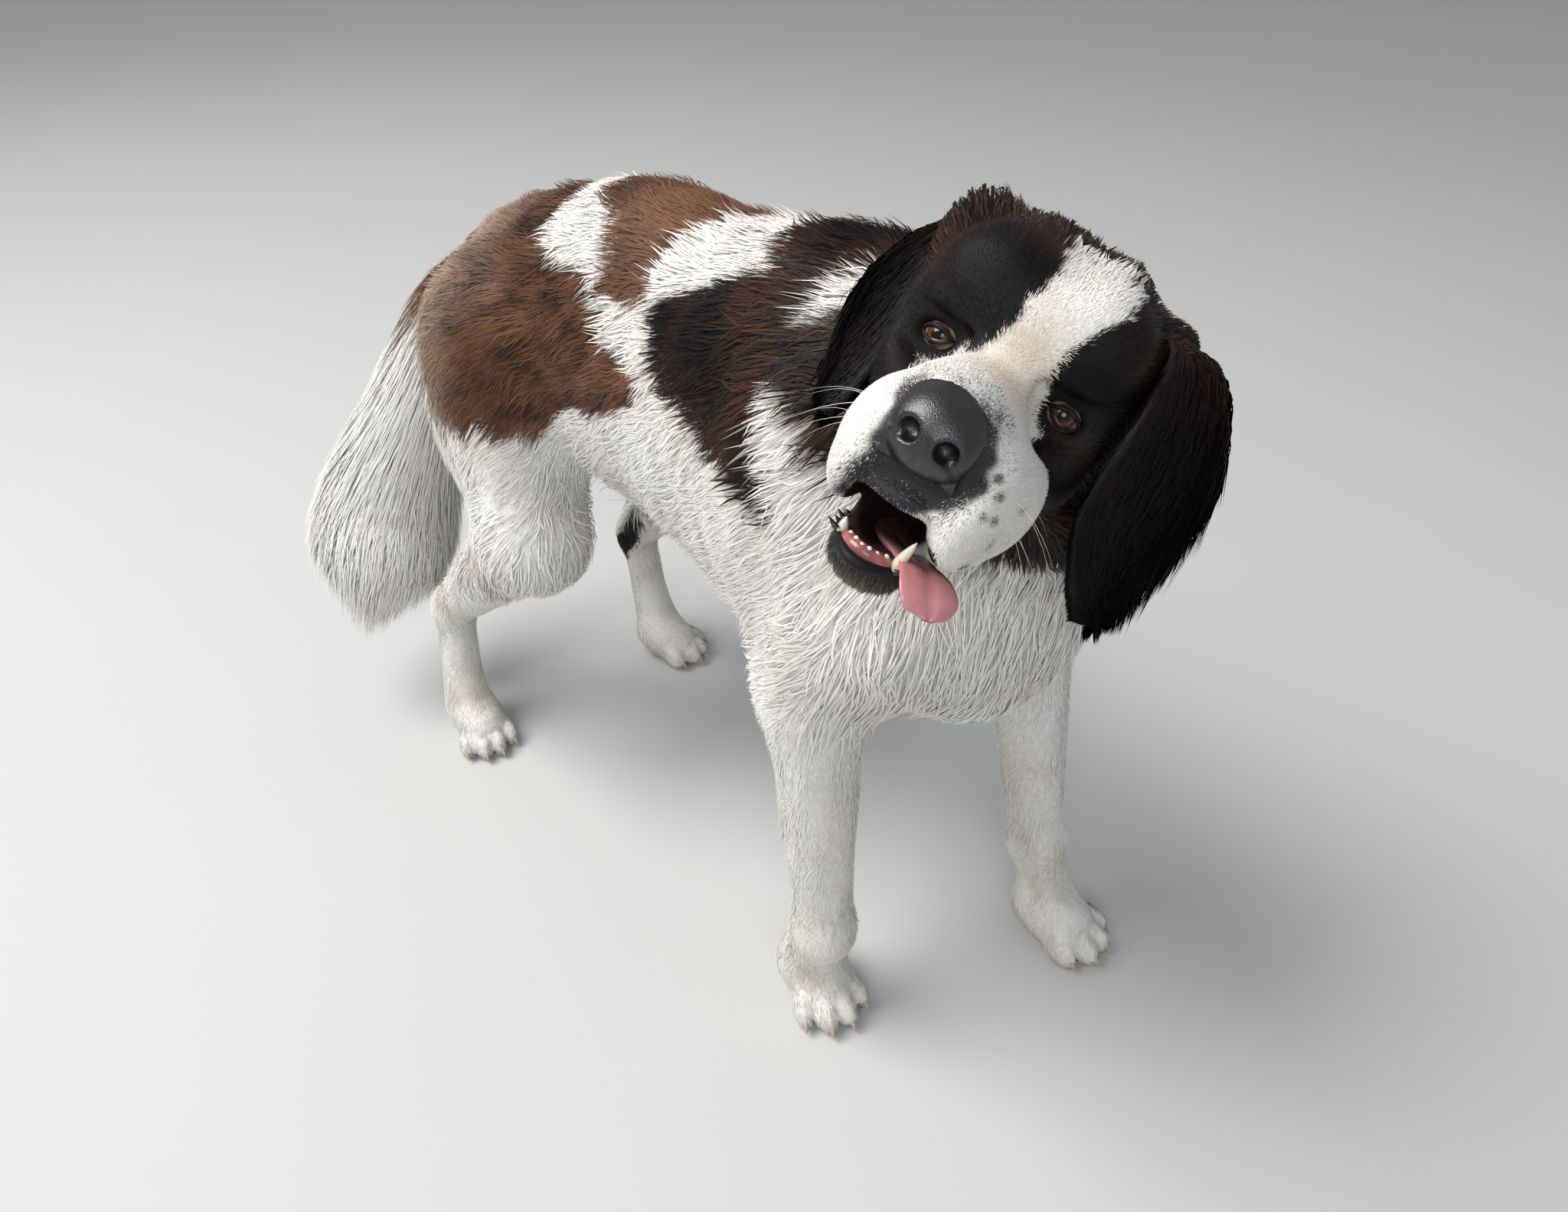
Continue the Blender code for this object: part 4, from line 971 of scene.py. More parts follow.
def material(name, roughness, colour=None, bump=0.0, bump_scale=400.0, coat=0.0, specular=0.5, vary=0.15):
    """A material of that colour, or of the tint attribute's, varied by noise, with a fine relief."""
    made = bpy.data.materials.new(name)
    made.use_nodes = True
    nodes, links = made.node_tree.nodes, made.node_tree.links
    shader = set_inputs(nodes["Principled BSDF"], Roughness=roughness, Specular_IOR_Level=specular)
    set_inputs(shader, Coat_Weight=coat, Coat_Roughness=0.06)
    place = add_node(made, "ShaderNodeTexCoord")
    noise = add_node(made, "ShaderNodeTexNoise", Scale=bump_scale * 0.25, Detail=4.0)
    links.new(place.outputs["Object"], noise.inputs["Vector"])
    spread = add_node(made, "ShaderNodeMapRange", To_Min=1 - 1.2 * vary, To_Max=1 + 0.8 * vary)
    links.new(noise.outputs["Fac"], spread.inputs["Value"])
    mix = add_node(made, "ShaderNodeMix")
    mix.data_type, mix.blend_type = "RGBA", "MULTIPLY"
    mix.inputs["Factor"].default_value = 1.0
    links.new(spread.outputs["Result"], mix.inputs["B"])
    if colour is None:
        attribute = add_node(made, "ShaderNodeAttribute")
        attribute.attribute_name = "tint"
        links.new(attribute.outputs["Color"], mix.inputs["A"])
    else:
        mix.inputs["A"].default_value = (*colour, 1)
    links.new(mix.outputs["Result"], shader.inputs["Base Color"])
    if bump:
        grain = add_node(made, "ShaderNodeTexNoise", Scale=bump_scale, Detail=3.0)
        add_relief(made, grain, "Fac", bump, 0.001)
    return made


def leather_material():
    """The nose's leather: blue-black, in fine pebbles."""
    made = material("nose_leather_look", 0.34, specular=0.85)
    pebbles = add_node(made, "ShaderNodeTexVoronoi", Scale=1300.0)
    pebbles.feature = "SMOOTH_F1"
    add_relief(made, pebbles, "Distance", 0.30, 0.0008).invert = True
    return made


def dressed(piece, look, slot, *nodes):
    """Gives the piece its material and its body, and hides the parts of the nodes that it stands for; slot
    is not used.
    """
    piece.data.materials.clear()
    piece.data.materials.append(look)
    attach(piece, "root")
    if nodes:
        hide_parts(*nodes)
    return piece


COAT = material("coat_look", 0.46, bump=0.12, bump_scale=900.0, specular=0.11)
SKIN = material("skin_look", 0.80, bump=0.5, bump_scale=700.0, specular=0.25)
LID = material("lid_look", 0.55, bump=0.25, bump_scale=500.0, specular=0.2)
WET = material("wet_skin_look", 0.28, bump=0.25, bump_scale=500.0, coat=0.4)
LEATHER = leather_material()
IVORY = material("tooth_look", 0.25, (0.78, 0.70, 0.55), bump=0.1, coat=0.3)
HORN = material("claw_look", 0.38, (0.42, 0.35, 0.28), bump=0.3, bump_scale=600.0)
EYE = material("eye_look", 0.04, specular=0.40)
WHISKER = material("whisker_look", 0.45, (0.75, 0.72, 0.68))


# The skin
def head_box(low, high):
    """The dog's own low and high corners round a box of the head's frame."""
    corners = from_head(np.where(list(np.ndindex(2, 2, 2)), high, low))
    return corners.min(axis=0), corners.max(axis=0)


def head_cut():
    """The planes that part the head from the neck, each as a place and its normal."""
    turned = HEAD.to_3x3()
    return [
        (in_head(0, 0.118, 0), turned @ Vector((0, 1, 0.10))),
        (in_head(0, 0.030, -0.125), turned @ Vector((0, 0.35, -1))),
        (in_head(-0.088, 0.060, -0.030), turned @ Vector((-1, 0.25, -0.6))),
    ]


SOLE = 0.0008  # the height over the floor where the skin ends flat


def offset_surface(field, keep, margin):
    """The field's surface under the coat's depth. keep is 1 for the head's side of its cut, else -1."""
    points = field.points()
    flat = points.reshape(-1, 3)
    near = np.abs(field.values.ravel()) < 0.05
    values = field.values.ravel().astype(float)
    values[near] += coat_depth(flat[near])
    values = np.maximum(values, keep * planes_field(flat, head_cut()) - margin)
    values = np.maximum(values, SOLE - flat[:, 2])
    return surface(values.reshape(field.values.shape), field.low, field.step)


legs = [blob for name in PAWS for blob in leg_blobs(name)]
flesh = trunk_blobs() + neck_blobs() + legs
flesh = flesh + skull_blobs() + tail_blobs()[:1]
BODY = Field(flesh, (-0.26, -0.50, -0.02), (0.26, 0.46, 0.86), BODY_STEP)
box = head_box((-0.12, -0.14, -0.17), (0.12, 0.16, 0.13))
FACE = Field(trunk_blobs() + neck_blobs() + head_blobs(), *box, HEAD_STEP)
OVERLAP = 0.010  # how far the head's fine skin runs over the body's

body_points, body_quads = offset_surface(BODY, keep=-1, margin=0.0)
face_points, face_quads = offset_surface(FACE, keep=1, margin=OVERLAP)


def in_mouth(points):
    x, y, z = to_head(points).T
    inside = ((x + 0.004) / 0.028) ** 2 + ((y + 0.045) / 0.064) ** 2 + ((z + 0.091) / 0.022) ** 2
    corner = ((x - 0.029) / 0.011) ** 2 + ((y + 0.070) / 0.036) ** 2 + ((z + 0.0925) / 0.012) ** 2
    return step_up(1.15 - np.minimum(inside, corner), 0.0, 0.25)


# painted shade: the skin inside the open mouth near black, with a little of its red
PAINTED_MOUTH_SHADE = np.array((0.018, 0.005, 0.005))


def skin_tint(points):
    """The skin's colour: as the coat over it but darker, which is painted shade between the tufts; dark at
    the lids; and near black in the mouth and at the lips, painted shade over their own deep red.
    """
    colours = marks(points, np.zeros(len(points))) * 0.85
    colours = mixed(colours, PAINTED_MOUTH_SHADE, in_mouth(points))
    for side in (1, -1):
        away = np.linalg.norm(to_head(points) - eye_centre(side), axis=1)
        colours = mixed(colours, BLACK, 1 - step_up(away, 0.018, 0.022))
    return colours


def grown_skin():
    """The whole skin in one piece: the body's, and the head's finer one run over its edge."""
    points = np.concatenate([body_points, face_points])
    quads = np.concatenate([body_quads, face_quads + len(body_points)])
    nodes = ["torso", "neck", "head", "lower_jaw", *(f"leg_{name}" for name in PAWS)]
    dressed(mesh_from("skin", points, quads, skin_tint(points)), SKIN, "body_coat", *nodes)


grown_skin()


# The coat over it
def on_sheet(u, v):
    """Places on OFBake, a little in from its edges."""
    return 0.01 + 0.98 * np.stack([u, v], 1)


def unrolled(points, along):
    """Each root's place on OFBake, by its way round an axis and its way along it."""
    own = points - points.mean(axis=0)
    others = [axis for axis in range(3) if axis != along]
    angle = (np.arctan2(own[:, others[0]], own[:, others[1]]) / (2 * math.pi) + 0.5) % 1.0
    run = own[:, along]
    share = (run - run.min()) / (run.max() - run.min() + 1e-9)
    return on_sheet(angle, share)


SHARE = 1.0


def coat(name, grown, chosen, rings, cover, along=1):
    """Covers the chosen part of a skin in tufts, cover of them over one another, as one object."""
    field, points, quads, hair_of, lie_of, grows = grown
    middle = points[quads].mean(axis=1)
    a, b, c, d = points[quads.T]
    facing = unit(np.cross(c - a, d - b))
    length, _ = hair_of(middle, facing)
    density = cover * SHARE / (tuft_width(length) * length) * grows(middle, facing) * chosen(middle)
    roots, normals = scattered(points, quads, density)
    rough = draw.uniform(-1, 1, len(roots))
    length, lift = hair_of(roots, normals)
    length = length * draw.uniform(0.75, 1.2, len(roots))
    width = tuft_width(length) * draw.uniform(0.75, 1.2, len(roots)) / math.sqrt(SHARE)
    paths = laid(field, coat_depth(roots), roots, normals, lie_of(roots, normals), length, lift, rings)
    paths = clumped(paths, 0.45, 9)
    tint = marks(roots, rough) * draw.uniform(0.91, 1.06, len(roots))[:, None]
    dressed(tufts(name, paths, normals, width, tint, unrolled(roots, along)), COAT, "body_coat")


def tuft_width(length):
    return np.minimum(0.0010 + 0.042 * length, 0.0020)


def outside_head(points, normals):
    return (planes_field(points, head_cut()) > -0.004).astype(float) * (points[:, 2] > 0.004)


def on_head(points, normals):
    """Where hair grows on the head: not in the mouth, on the nose leather or between the lids."""
    x, y, z = to_head(points).T
    grows = (planes_field(points, head_cut()) < 0.006).astype(float)
    grows *= 1 - np.round(in_mouth(points))
    nose = (y < -0.0995) & (np.abs(x - 0.002) < 0.024) & (z > -0.054) & (z < -0.010)
    grows[nose] = 0
    for side in (1, -1):
        away = np.stack([x - side * EYE_AT[0], y - EYE_AT[1], z - EYE_AT[2]], 1)
        across, _, high = (away @ np.array(eye_turn(side).to_3x3())).T
        between = (across / 0.0135) ** 2 + (high / 0.0078) ** 2 < 1
        grows[between & (np.linalg.norm(away, axis=1) < 0.022)] = 0
    return grows


def on_trunk(points, normals):
    return outside_head(points, normals) * (points[:, 2] >= LEG_TOP)


def on_legs(points, normals):
    return outside_head(points, normals) * (points[:, 2] < LEG_TOP)


def grown_long(points, normals):
    behind = np.maximum(breech_share(points, normals), 0.7 * stifle_share(points))
    return outside_head(points, normals) * np.maximum(breast_share(points, normals), behind)


LEG_TOP, HOCK_TOP = 0.42, 0.20  # heights where the coat is parted
BREAST_BACK, LEGS_PART, LOCKS_FRONT = -0.20, 0.02, -0.26  # and places along the dog
SHORT_HAIR_BACK = 0.030  # how far back on the head its hair is short
BODY_SKIN = (BODY, body_points, body_quads)
TRUNK = (*BODY_SKIN, body_hair, body_lie, on_trunk)
LEGS = (*BODY_SKIN, body_hair, body_lie, on_legs)
TRUNK_LOCKS = (*BODY_SKIN, trunk_hair, body_lie, on_trunk)
LONG_LOCKS = (*BODY_SKIN, long_hair, body_lie, grown_long)
HEAD_COAT = (FACE, face_points, face_quads, head_hair, head_lie, on_head)

coat("coat_right_side", TRUNK, lambda p: (p[:, 0] < 0) & (p[:, 1] >= BREAST_BACK), 1, 5.4)
coat("coat_left_side", TRUNK, lambda p: (p[:, 0] >= 0) & (p[:, 1] >= BREAST_BACK), 1, 5.0)
coat("coat_breast", TRUNK, lambda p: p[:, 1] < BREAST_BACK, 1, 6.0)
coat("coat_thighs", LEGS, lambda p: (p[:, 1] >= LEGS_PART) & (p[:, 2] > HOCK_TOP), 1, 4.4, 2)
coat("coat_hocks", LEGS, lambda p: (p[:, 1] >= LEGS_PART) & (p[:, 2] <= HOCK_TOP), 1, 4.2, 2)
coat("coat_fore_legs", LEGS, lambda p: p[:, 1] < LEGS_PART, 1, 3.1, 2)
coat("coat_trunk_locks", TRUNK_LOCKS, lambda p: p[:, 1] > LOCKS_FRONT, 2, 1.3)
coat("coat_breast_locks", LONG_LOCKS, lambda p: p[:, 1] < 0, 3, 2.3)
coat("coat_breech_locks", LONG_LOCKS, lambda p: p[:, 1] >= 0, 3, 2.1)


def head_coat(side):
    def front(p):
        return (side * to_head(p)[:, 0] >= 0) & (to_head(p)[:, 1] < SHORT_HAIR_BACK)

    def back(p):
        return (side * to_head(p)[:, 0] >= 0) & (to_head(p)[:, 1] >= SHORT_HAIR_BACK)

    coat(f"coat_face_{WORD[side]}", HEAD_COAT, front, 1, 5.0)
    coat(f"coat_crown_{WORD[side]}", HEAD_COAT, back, 2, 4.2)


head_coat(-1)
head_coat(1)


# The ears
def smooth_path(points, count):
    """That many places along a smooth curve through the points, each with any further values of theirs."""
    points = np.array(points, float)
    padded = np.vstack([2 * points[0] - points[1], points, 2 * points[-1] - points[-2]])
    made = []
    for place in np.linspace(0, len(points) - 1, count):
        i = min(int(place), len(points) - 2)  # which stretch it is in
        t = place - i
        a, b, c, d = padded[i : i + 4]
        curve = 2 * b + (c - a) * t + (2 * a - 5 * b + 4 * c - d) * t**2
        made.append(0.5 * (curve + (3 * b - a - 3 * c + d) * t**3))
    return np.array(made)


# Each row is x, y, z in the head's frame, half width, half thickness and cup. The root is sunk in the head.
LEFT_EAR = [
    (0.066, 0.074, 0.062, 0.026, 0.010, 0.004),
    (0.094, 0.060, 0.052, 0.038, 0.011, 0.010),
    (0.107, 0.048, 0.008, 0.051, 0.009, 0.014),
    (0.111, 0.044, -0.042, 0.051, 0.008, 0.012),
    (0.118, 0.038, -0.082, 0.030, 0.008, 0.006),
    (0.126, 0.032, -0.104, 0.015, 0.005, 0.001),
]
RIGHT_EAR = [
    (-0.062, 0.070, 0.060, 0.024, 0.010, -0.004),
    (-0.079, 0.062, 0.046, 0.031, 0.011, -0.008),
    (-0.086, 0.052, 0.006, 0.036, 0.009, -0.010),
    (-0.086, 0.044, -0.034, 0.034, 0.008, -0.008),
    (-0.086, 0.036, -0.064, 0.022, 0.008, -0.004),
    (-0.086, 0.028, -0.084, 0.008, 0.005, -0.001),
]
EAR_ROWS, EAR_SIDES = 41, 40
EAR_TUFTS = {1: 14500, -1: 8500}
EAR_INSET = 0.0032  # how far the ear's leather lies under the outline of its hair
FRINGE_INSET = {1: 0.019, -1: 0.012}  # and how far at its back edge, which has a fringe


class Ear:
    """The ear's surface. along runs from its root, 0, to its tip, 1; round_it goes about its edge."""

    def __init__(self, side):
        self.side = side
        self.rows = smooth_path(LEFT_EAR if side > 0 else RIGHT_EAR, EAR_ROWS)
        self.across = unit(np.array((side * 0.68, 0.73, 0.05)))

    def at(self, along, round_it, lift):
        """Places lifted off the ear's leather and the outward directions there, in the head's frame."""
        place = np.clip(along, 0, 1) * (EAR_ROWS - 1)
        low = np.clip(place.astype(int), 0, EAR_ROWS - 2)
        share = (place - low)[:, None]
        row = self.rows[low] * (1 - share) + self.rows[low + 1] * share
        ahead = unit(self.rows[low + 1][:, :3] - self.rows[low][:, :3])
        side = unit(self.across - ahead * (ahead @ self.across)[:, None])
        out = np.cross(side, ahead)
        inset = np.minimum(FRINGE_INSET[self.side], 0.45 * row[:, 3])
        wide = row[:, 3] - (EAR_INSET + inset) / 2
        thick = np.maximum(row[:, 4] - EAR_INSET, 0.0022)
        ripple = 0.0022 * np.sin(7 * along + 2.0 * np.cos(round_it)) * np.cos(round_it)
        cos, sin = np.cos(round_it), np.sin(round_it)
        outward = unit(side * (cos / wide)[:, None] + out * (sin / thick)[:, None])
        bend = row[:, 5] * cos**2 + ripple
        own = side * (wide * cos - (inset - EAR_INSET) / 2)[:, None] + out * (thick * sin - bend)[:, None]
        past = np.maximum(along - 1, 0)[:, None] * 0.12 * ahead
        return row[:, :3] + own + outward * lift[:, None] + past, outward


def ear_tint(points, rough):
    """Black, a little browner at the root and where the hair catches the light."""
    x, y, z = to_head(points).T
    brown = 0.3 * step_up(z, 0.02, 0.07) + 0.25 * step_up(waves(points, 0.05, 31) + 0.5 * rough, 0.1, 1.4)
    edge = step_up(y, 0.060, 0.10) * step_up(z, 0.0, 0.04) * step_up(x, 0.0, 0.05)
    return mixed(mixed(BLACK, MAHOGANY, brown), BROWN * 1.2, 0.5 * edge)


def ear_leather(ear):
    along, round_it = np.linspace(0.001, 1, EAR_ROWS), np.linspace(0, 2 * math.pi, EAR_SIDES, False)
    along, round_it = np.meshgrid(along, round_it, indexing="ij")
    points, _ = ear.at(along.ravel(), round_it.ravel(), np.zeros(along.size))
    points = from_head(points)
    # painted shade: the leather darker than its hair, as it lies under it
    tint = ear_tint(points, np.zeros(len(points))) * 0.8
    faces = tube_faces(EAR_ROWS, EAR_SIDES)[:, [1, 0, 3, 2]]
    word = WORD[ear.side]
    dressed(mesh_from(f"ear_{word}_leather", points, faces, tint), SKIN, "body_coat", f"ear_{word}")


def ear_hair(ear):
    """The ear's hair, with a fringe at its hind edge and a few long wisps in it."""
    count = int(EAR_TUFTS[ear.side] * SHARE)
    along, round_it = draw.uniform(0.06, 0.985, count), draw.uniform(0, 2 * math.pi, count)
    hind = step_up(np.cos(round_it), 0.75, 0.97)
    front = step_up(-np.cos(round_it), 0.85, 0.98)
    low_end = step_up(along, 0.70, 0.95)
    length = (0.11 + 0.08 * hind - 0.03 * front) * (1 - 0.75 * low_end) * draw.uniform(0.8, 1.2, count)
    rough = draw.uniform(-1, 1, count)
    wisp = hind * (draw.random(count) < 0.05) * step_up(along, 0.25, 0.45) * (1 - low_end)
    length = length + 0.05 * wisp
    fringe = 0.011 * wisp + 0.013 * hind * (1 - 0.8 * low_end) * step_up(along, 0.05, 0.35)
    drift = draw.normal(size=count) * 0.10
    places = []
    for share in (0.0, 0.5, 1.0):
        lift = (0.0035 + 0.004 * rough**2 + fringe) * share * (1.25 - 0.45 * share) - ROOT_DEPTH
        turn = round_it + drift * share + 0.25 * hind * share * np.sign(np.sin(round_it))
        places.append(ear.at(along + length * share, turn, lift))
    paths = from_head(np.stack([place for place, _ in places], 1))
    paths[:, 1, 2] -= 0.0025 * hind
    paths[:, 2, 2] -= 0.0100 * hind
    paths = clumped(paths, 0.5, 10)
    normals = places[0][1] @ HEAD_AXES.T
    width = (0.0014 + 0.0006 * hind) * draw.uniform(0.75, 1.2, count) / math.sqrt(SHARE)
    tint = ear_tint(paths[:, 0], rough) * draw.uniform(0.8, 1.4, count)[:, None]
    uv = on_sheet(round_it / (2 * math.pi), along)
    dressed(tufts(f"coat_ear_{WORD[ear.side]}", paths, normals, width, tint, uv), COAT, "body_coat")


for side in (1, -1):
    ear_leather(Ear(side))
    ear_hair(Ear(side))


# The tail
TAIL_ROWS = 41  # the path is counted in this many rows
TAIL_CLOSES, TAIL_BEYOND = 37, 14  # from this row the brush closes, over this many more


def tail_spot(along, angle, out):
    """Places in the brush and its outward directions, by row, way round and share of the way out."""
    spots = smooth_path([(*place, wide) for place, wide in zip(TAIL_PATH, TAIL_WIDE)], TAIL_ROWS)
    low = np.clip(along.astype(int), 0, TAIL_ROWS - 2)
    run = spots[low + 1] - spots[low]
    spot = spots[low] + run * (along - low)[:, None]
    past = np.clip((along - TAIL_CLOSES) / TAIL_BEYOND, 0, 1)
    ahead = unit(run[:, :3])
    through = unit(np.array(TAIL_ACROSS))
    side = unit(through - ahead * (ahead @ through)[:, None])
    deep = np.cross(ahead, side) * TAIL_FLAT
    wide = np.where(along > TAIL_ROWS - 2, TAIL_WIDE[-1], spot[:, 3]) * out * (1 - 0.42 * past**1.3)
    way = side * np.cos(angle)[:, None] + deep * np.sin(angle)[:, None]
    outward = unit(side * (np.cos(angle) * TAIL_FLAT)[:, None] + deep * np.sin(angle)[:, None])
    return spot[:, :3] + way * wide[:, None], outward


TAIL_TUFTS = 18000
TAIL_RUN = unit(np.array((-0.25, 1.0, -0.70)))  # the way that the tail leaves the rump


def tail_core():
    """The flesh in the brush, cut off a little before its root."""
    core = Field(tail_blobs(), (-0.32, 0.30, 0.10), (0.10, 0.62, 0.68), 0.005)
    before_root = (np.array(TAIL_PATH[0]) - core.points()) @ TAIL_RUN - 0.02
    points, quads = surface(np.maximum(core.values + 0.003, before_root), core.low, core.step)
    # painted shade: the core darker than the hair over it, as it lies deep in the brush
    tint = tail_marks(points, np.zeros(len(points))) * 0.7
    dressed(mesh_from("tail_core", points, quads, tint), SKIN, "white_coat", "tail")


def tail_hair():
    """The brush: hair from all along the core, kept clear of the thigh and rounded off at the end."""
    count = int(TAIL_TUFTS * SHARE)
    start = (TAIL_ROWS - 1) * draw.random(count) ** 0.85 - 1
    angle = draw.uniform(0, 2 * math.pi, count)
    ending = step_up(start, 26, 38)
    depth = draw.uniform(0.55 - 0.45 * ending, 1.0) ** 0.6
    length = (8 + 5 * step_up(start, 4, 20)) * draw.uniform(0.75, 1.2, count)
    length = length * (1 - 0.55 * step_up(start, 22, 38) * np.abs(np.cos(angle)) * depth**2)
    rough = draw.uniform(-1, 1, count)
    drift = draw.normal(size=count) * 0.12
    places = [
        tail_spot(start + length * share, angle + drift * share, out * depth)
        for share, out in ((0.0, 0.42), (0.5, 0.90), (1.0, 1.0))
    ]
    paths = np.stack([place for place, _ in places], 1)
    ahead = unit(paths[:, 2] - paths[:, 0])
    normals = unit(places[1][1] + ahead * (1.1 * ending)[:, None])
    near_root = start < 3
    paths[near_root, 0] += (paths[near_root, 1] - paths[near_root, 0]) * 0.3
    for k in (1, 2):
        push = np.clip(0.004 - BODY.at(paths[:, k]), 0, 0.05) * (start > 4)
        paths[:, k] += BODY.outward(paths[:, k]) * push[:, None]
    paths = clumped(paths, 0.3, 12)
    width = 0.0026 * draw.uniform(0.7, 1.2, count) / math.sqrt(SHARE)
    # painted light: the brush's hair made a little brighter than the coat's other tufts
    tint = tail_marks(paths[:, 1], rough) * draw.uniform(1.02, 1.10, count)[:, None]
    uv = on_sheet(angle / (2 * math.pi), (start + 1) / TAIL_ROWS)
    dressed(tufts("coat_tail", paths, normals, width, tint, uv), COAT, "white_coat")


tail_core()
tail_hair()


# The eyes and lids
def rotated(turn, points):
    return np.asarray(points) @ np.array(turn.to_3x3()).T


IRIS, PUPIL = 0.64, 0.31  # how far each reaches from the eye's axis, in radians
IRIS_DARK, IRIS_LIGHT = np.array((0.085, 0.028, 0.010)), np.array((0.150, 0.055, 0.018))
IRIS_RIM, EYE_WHITE = np.array((0.035, 0.012, 0.006)), np.array((0.20, 0.14, 0.12))
PUPIL_BLACK = np.array((0.004, 0.003, 0.003))


def eye_piece(side):
    """One eyeball with its bulging cornea, iris, pupil and the white at its corners."""
    rings, around = 47, 64
    polar, turn = np.linspace(0, math.pi, rings + 2)[1:-1], np.linspace(0, 2 * math.pi, around, False)
    polar, turn = [item.ravel() for item in np.meshgrid(polar, turn, indexing="ij")]
    radius = EYE_RADIUS * (1 + 0.05 * np.exp(-((polar / 0.42) ** 4)))
    own = np.stack([np.sin(polar) * np.cos(turn), -np.cos(polar), np.sin(polar) * np.sin(turn)], 1)
    own = np.vstack([own * radius[:, None], [(0, -EYE_RADIUS * 1.05, 0)], [(0, EYE_RADIUS, 0)]])
    polar, turn = np.append(polar, (0, math.pi)), np.append(turn, (0, 0))
    here = np.arange(around)
    beside = (here + 1) % around
    last = (rings - 1) * around
    walls = tube_faces(rings, around)[:, [0, 3, 1, 1, 3, 2]].reshape(-1, 3)
    front = np.stack([here, beside, np.full(around, len(own) - 2)], 1)
    back = np.stack([last + beside, last + here, np.full(around, len(own) - 1)], 1)
    spokes = 0.5 + 0.5 * np.sin(turn * 23 + 2 * np.sin(turn * 7))
    amber = mixed(IRIS_DARK, IRIS_LIGHT, 0.6 * spokes)
    amber = mixed(amber, IRIS_RIM, step_up(polar, IRIS - 0.14, IRIS))
    colours = mixed(amber, EYE_WHITE, step_up(polar, IRIS, IRIS + 0.04))
    colours = mixed(colours, PUPIL_BLACK, 1 - step_up(polar, PUPIL - 0.02, PUPIL + 0.04))
    look = Matrix.Rotation(math.radians(side * EYE_OUTWARD * 0.55), 4, "Z")
    own = from_head(rotated(look, own) + eye_centre(side))
    piece = mesh_from(f"eye_{WORD[side]}_ball", own, np.vstack([walls, front, back]), colours)
    dressed(piece, EYE, "eye", f"eye_{WORD[side]}")


def lid_pieces(side):
    """The dark rims of the lids round the almond, and the haw at the inner corner and lower lid."""
    centre, turn = eye_centre(side), eye_turn(side)
    half_wide, half_high = 0.0112, 0.0046
    droop = 0.0014 if side > 0 else 0.0006

    def almond(share, high, reach):
        """A point of the lid's edge: share runs from the inner corner, -1, to the outer, 1."""
        x = side * half_wide * share
        z = high * (1 - abs(share) ** 2.2) - (droop if high < 0 else 0) * (1 - share**2)
        y = -math.sqrt(max((EYE_RADIUS + reach) ** 2 - x**2 - z**2, 1e-8))
        return rotated(turn, (x, y, z)) + centre

    shares = np.sin(np.linspace(-math.pi / 2, math.pi / 2, 25)) * 1.04
    rims = []
    for high, thick in ((half_high, 0.0015), (-half_high * 0.92, 0.0012)):
        radii = thick * (0.65 + 0.35 * np.sqrt(np.clip(1 - shares**2, 0, 1)))
        radii[[0, -1]] = 0.0002
        rims.append((from_head([almond(share, high, 0.0011) for share in shares]), radii))
    points, faces = tube_bundle(rims, 8)
    tint = mixed(BLACK, GREY * 0.5, 0.3 + 0.5 * waves(points, 0.008, 41))
    dressed(mesh_from(f"lid_rims_{WORD[side]}", points, faces, tint), LID, "dark_coat")
    path = from_head([almond(share, -half_high * 0.80, 0.0002) for share in np.linspace(-0.98, 0.35, 15)])
    own, faces = closed_tube(path, 0.0013 * np.sin(np.linspace(0.10, math.pi - 0.10, 15)) + 0.0003)
    pink = (0.20, 0.075, 0.065) if side > 0 else (0.16, 0.10, 0.095)
    dressed(mesh_from(f"haw_{WORD[side]}", own, faces, pink), WET, "dark_coat")


for side in (1, -1):
    eye_piece(side)
    lid_pieces(side)


# The nose
# The second colour is painted shade: near black inside the nostrils.
NOSE_BLACK, PAINTED_NOSTRIL_SHADE = np.array(((0.0040, 0.0045, 0.0060), (0.0010, 0.0010, 0.0012)))


def nose_piece():
    turned = HEAD.to_3x3()
    planes = [
        (in_head(0, -0.0985, -0.030), turned @ Vector((0, 1, 0.12))),
        (in_head(0, -0.110, -0.0560), turned @ Vector((0, 0.1, -1))),
        (in_head(0.0272, -0.110, 0), turned @ Vector((1, 0.15, 0))),
        (in_head(-0.0232, -0.110, 0), turned @ Vector((-1, 0.15, 0))),
    ]
    box = head_box((-0.030, -0.132, -0.064), (0.034, -0.088, -0.002))
    pad = head_egg((0.002, -0.104, -0.032), (0.0245, 0.0165, 0.0205), 0.006)
    cleft = head_bar((0.002, -0.126, -0.028), (0.002, -0.114, -0.056), 0.0011, 0.0012, 0.003, cuts=True)
    blobs = skull_blobs() + [pad, cleft] + both_sides(nostril_blobs)
    near = Field(blobs, *box, NOSE_STEP)
    values = np.maximum(near.values - 0.0002, planes_field(near.points(), planes))
    points, quads = surface(values, near.low, near.step)
    x, y, z = to_head(points).T
    colours = NOSE_BLACK
    # painted shade: near black inside each nostril
    for side in (1, -1):
        hole = 1.15 - ((x - 0.002 - side * 0.0130) / 0.0078) ** 2 - ((z + 0.0350) / 0.0070) ** 2
        colours = mixed(colours, PAINTED_NOSTRIL_SHADE, step_up(hole, 0.0, 0.35) * (y > -0.1225))
    dressed(mesh_from("nose_leather", points, quads, colours), LEATHER, "nose_leather", "nose")


nose_piece()


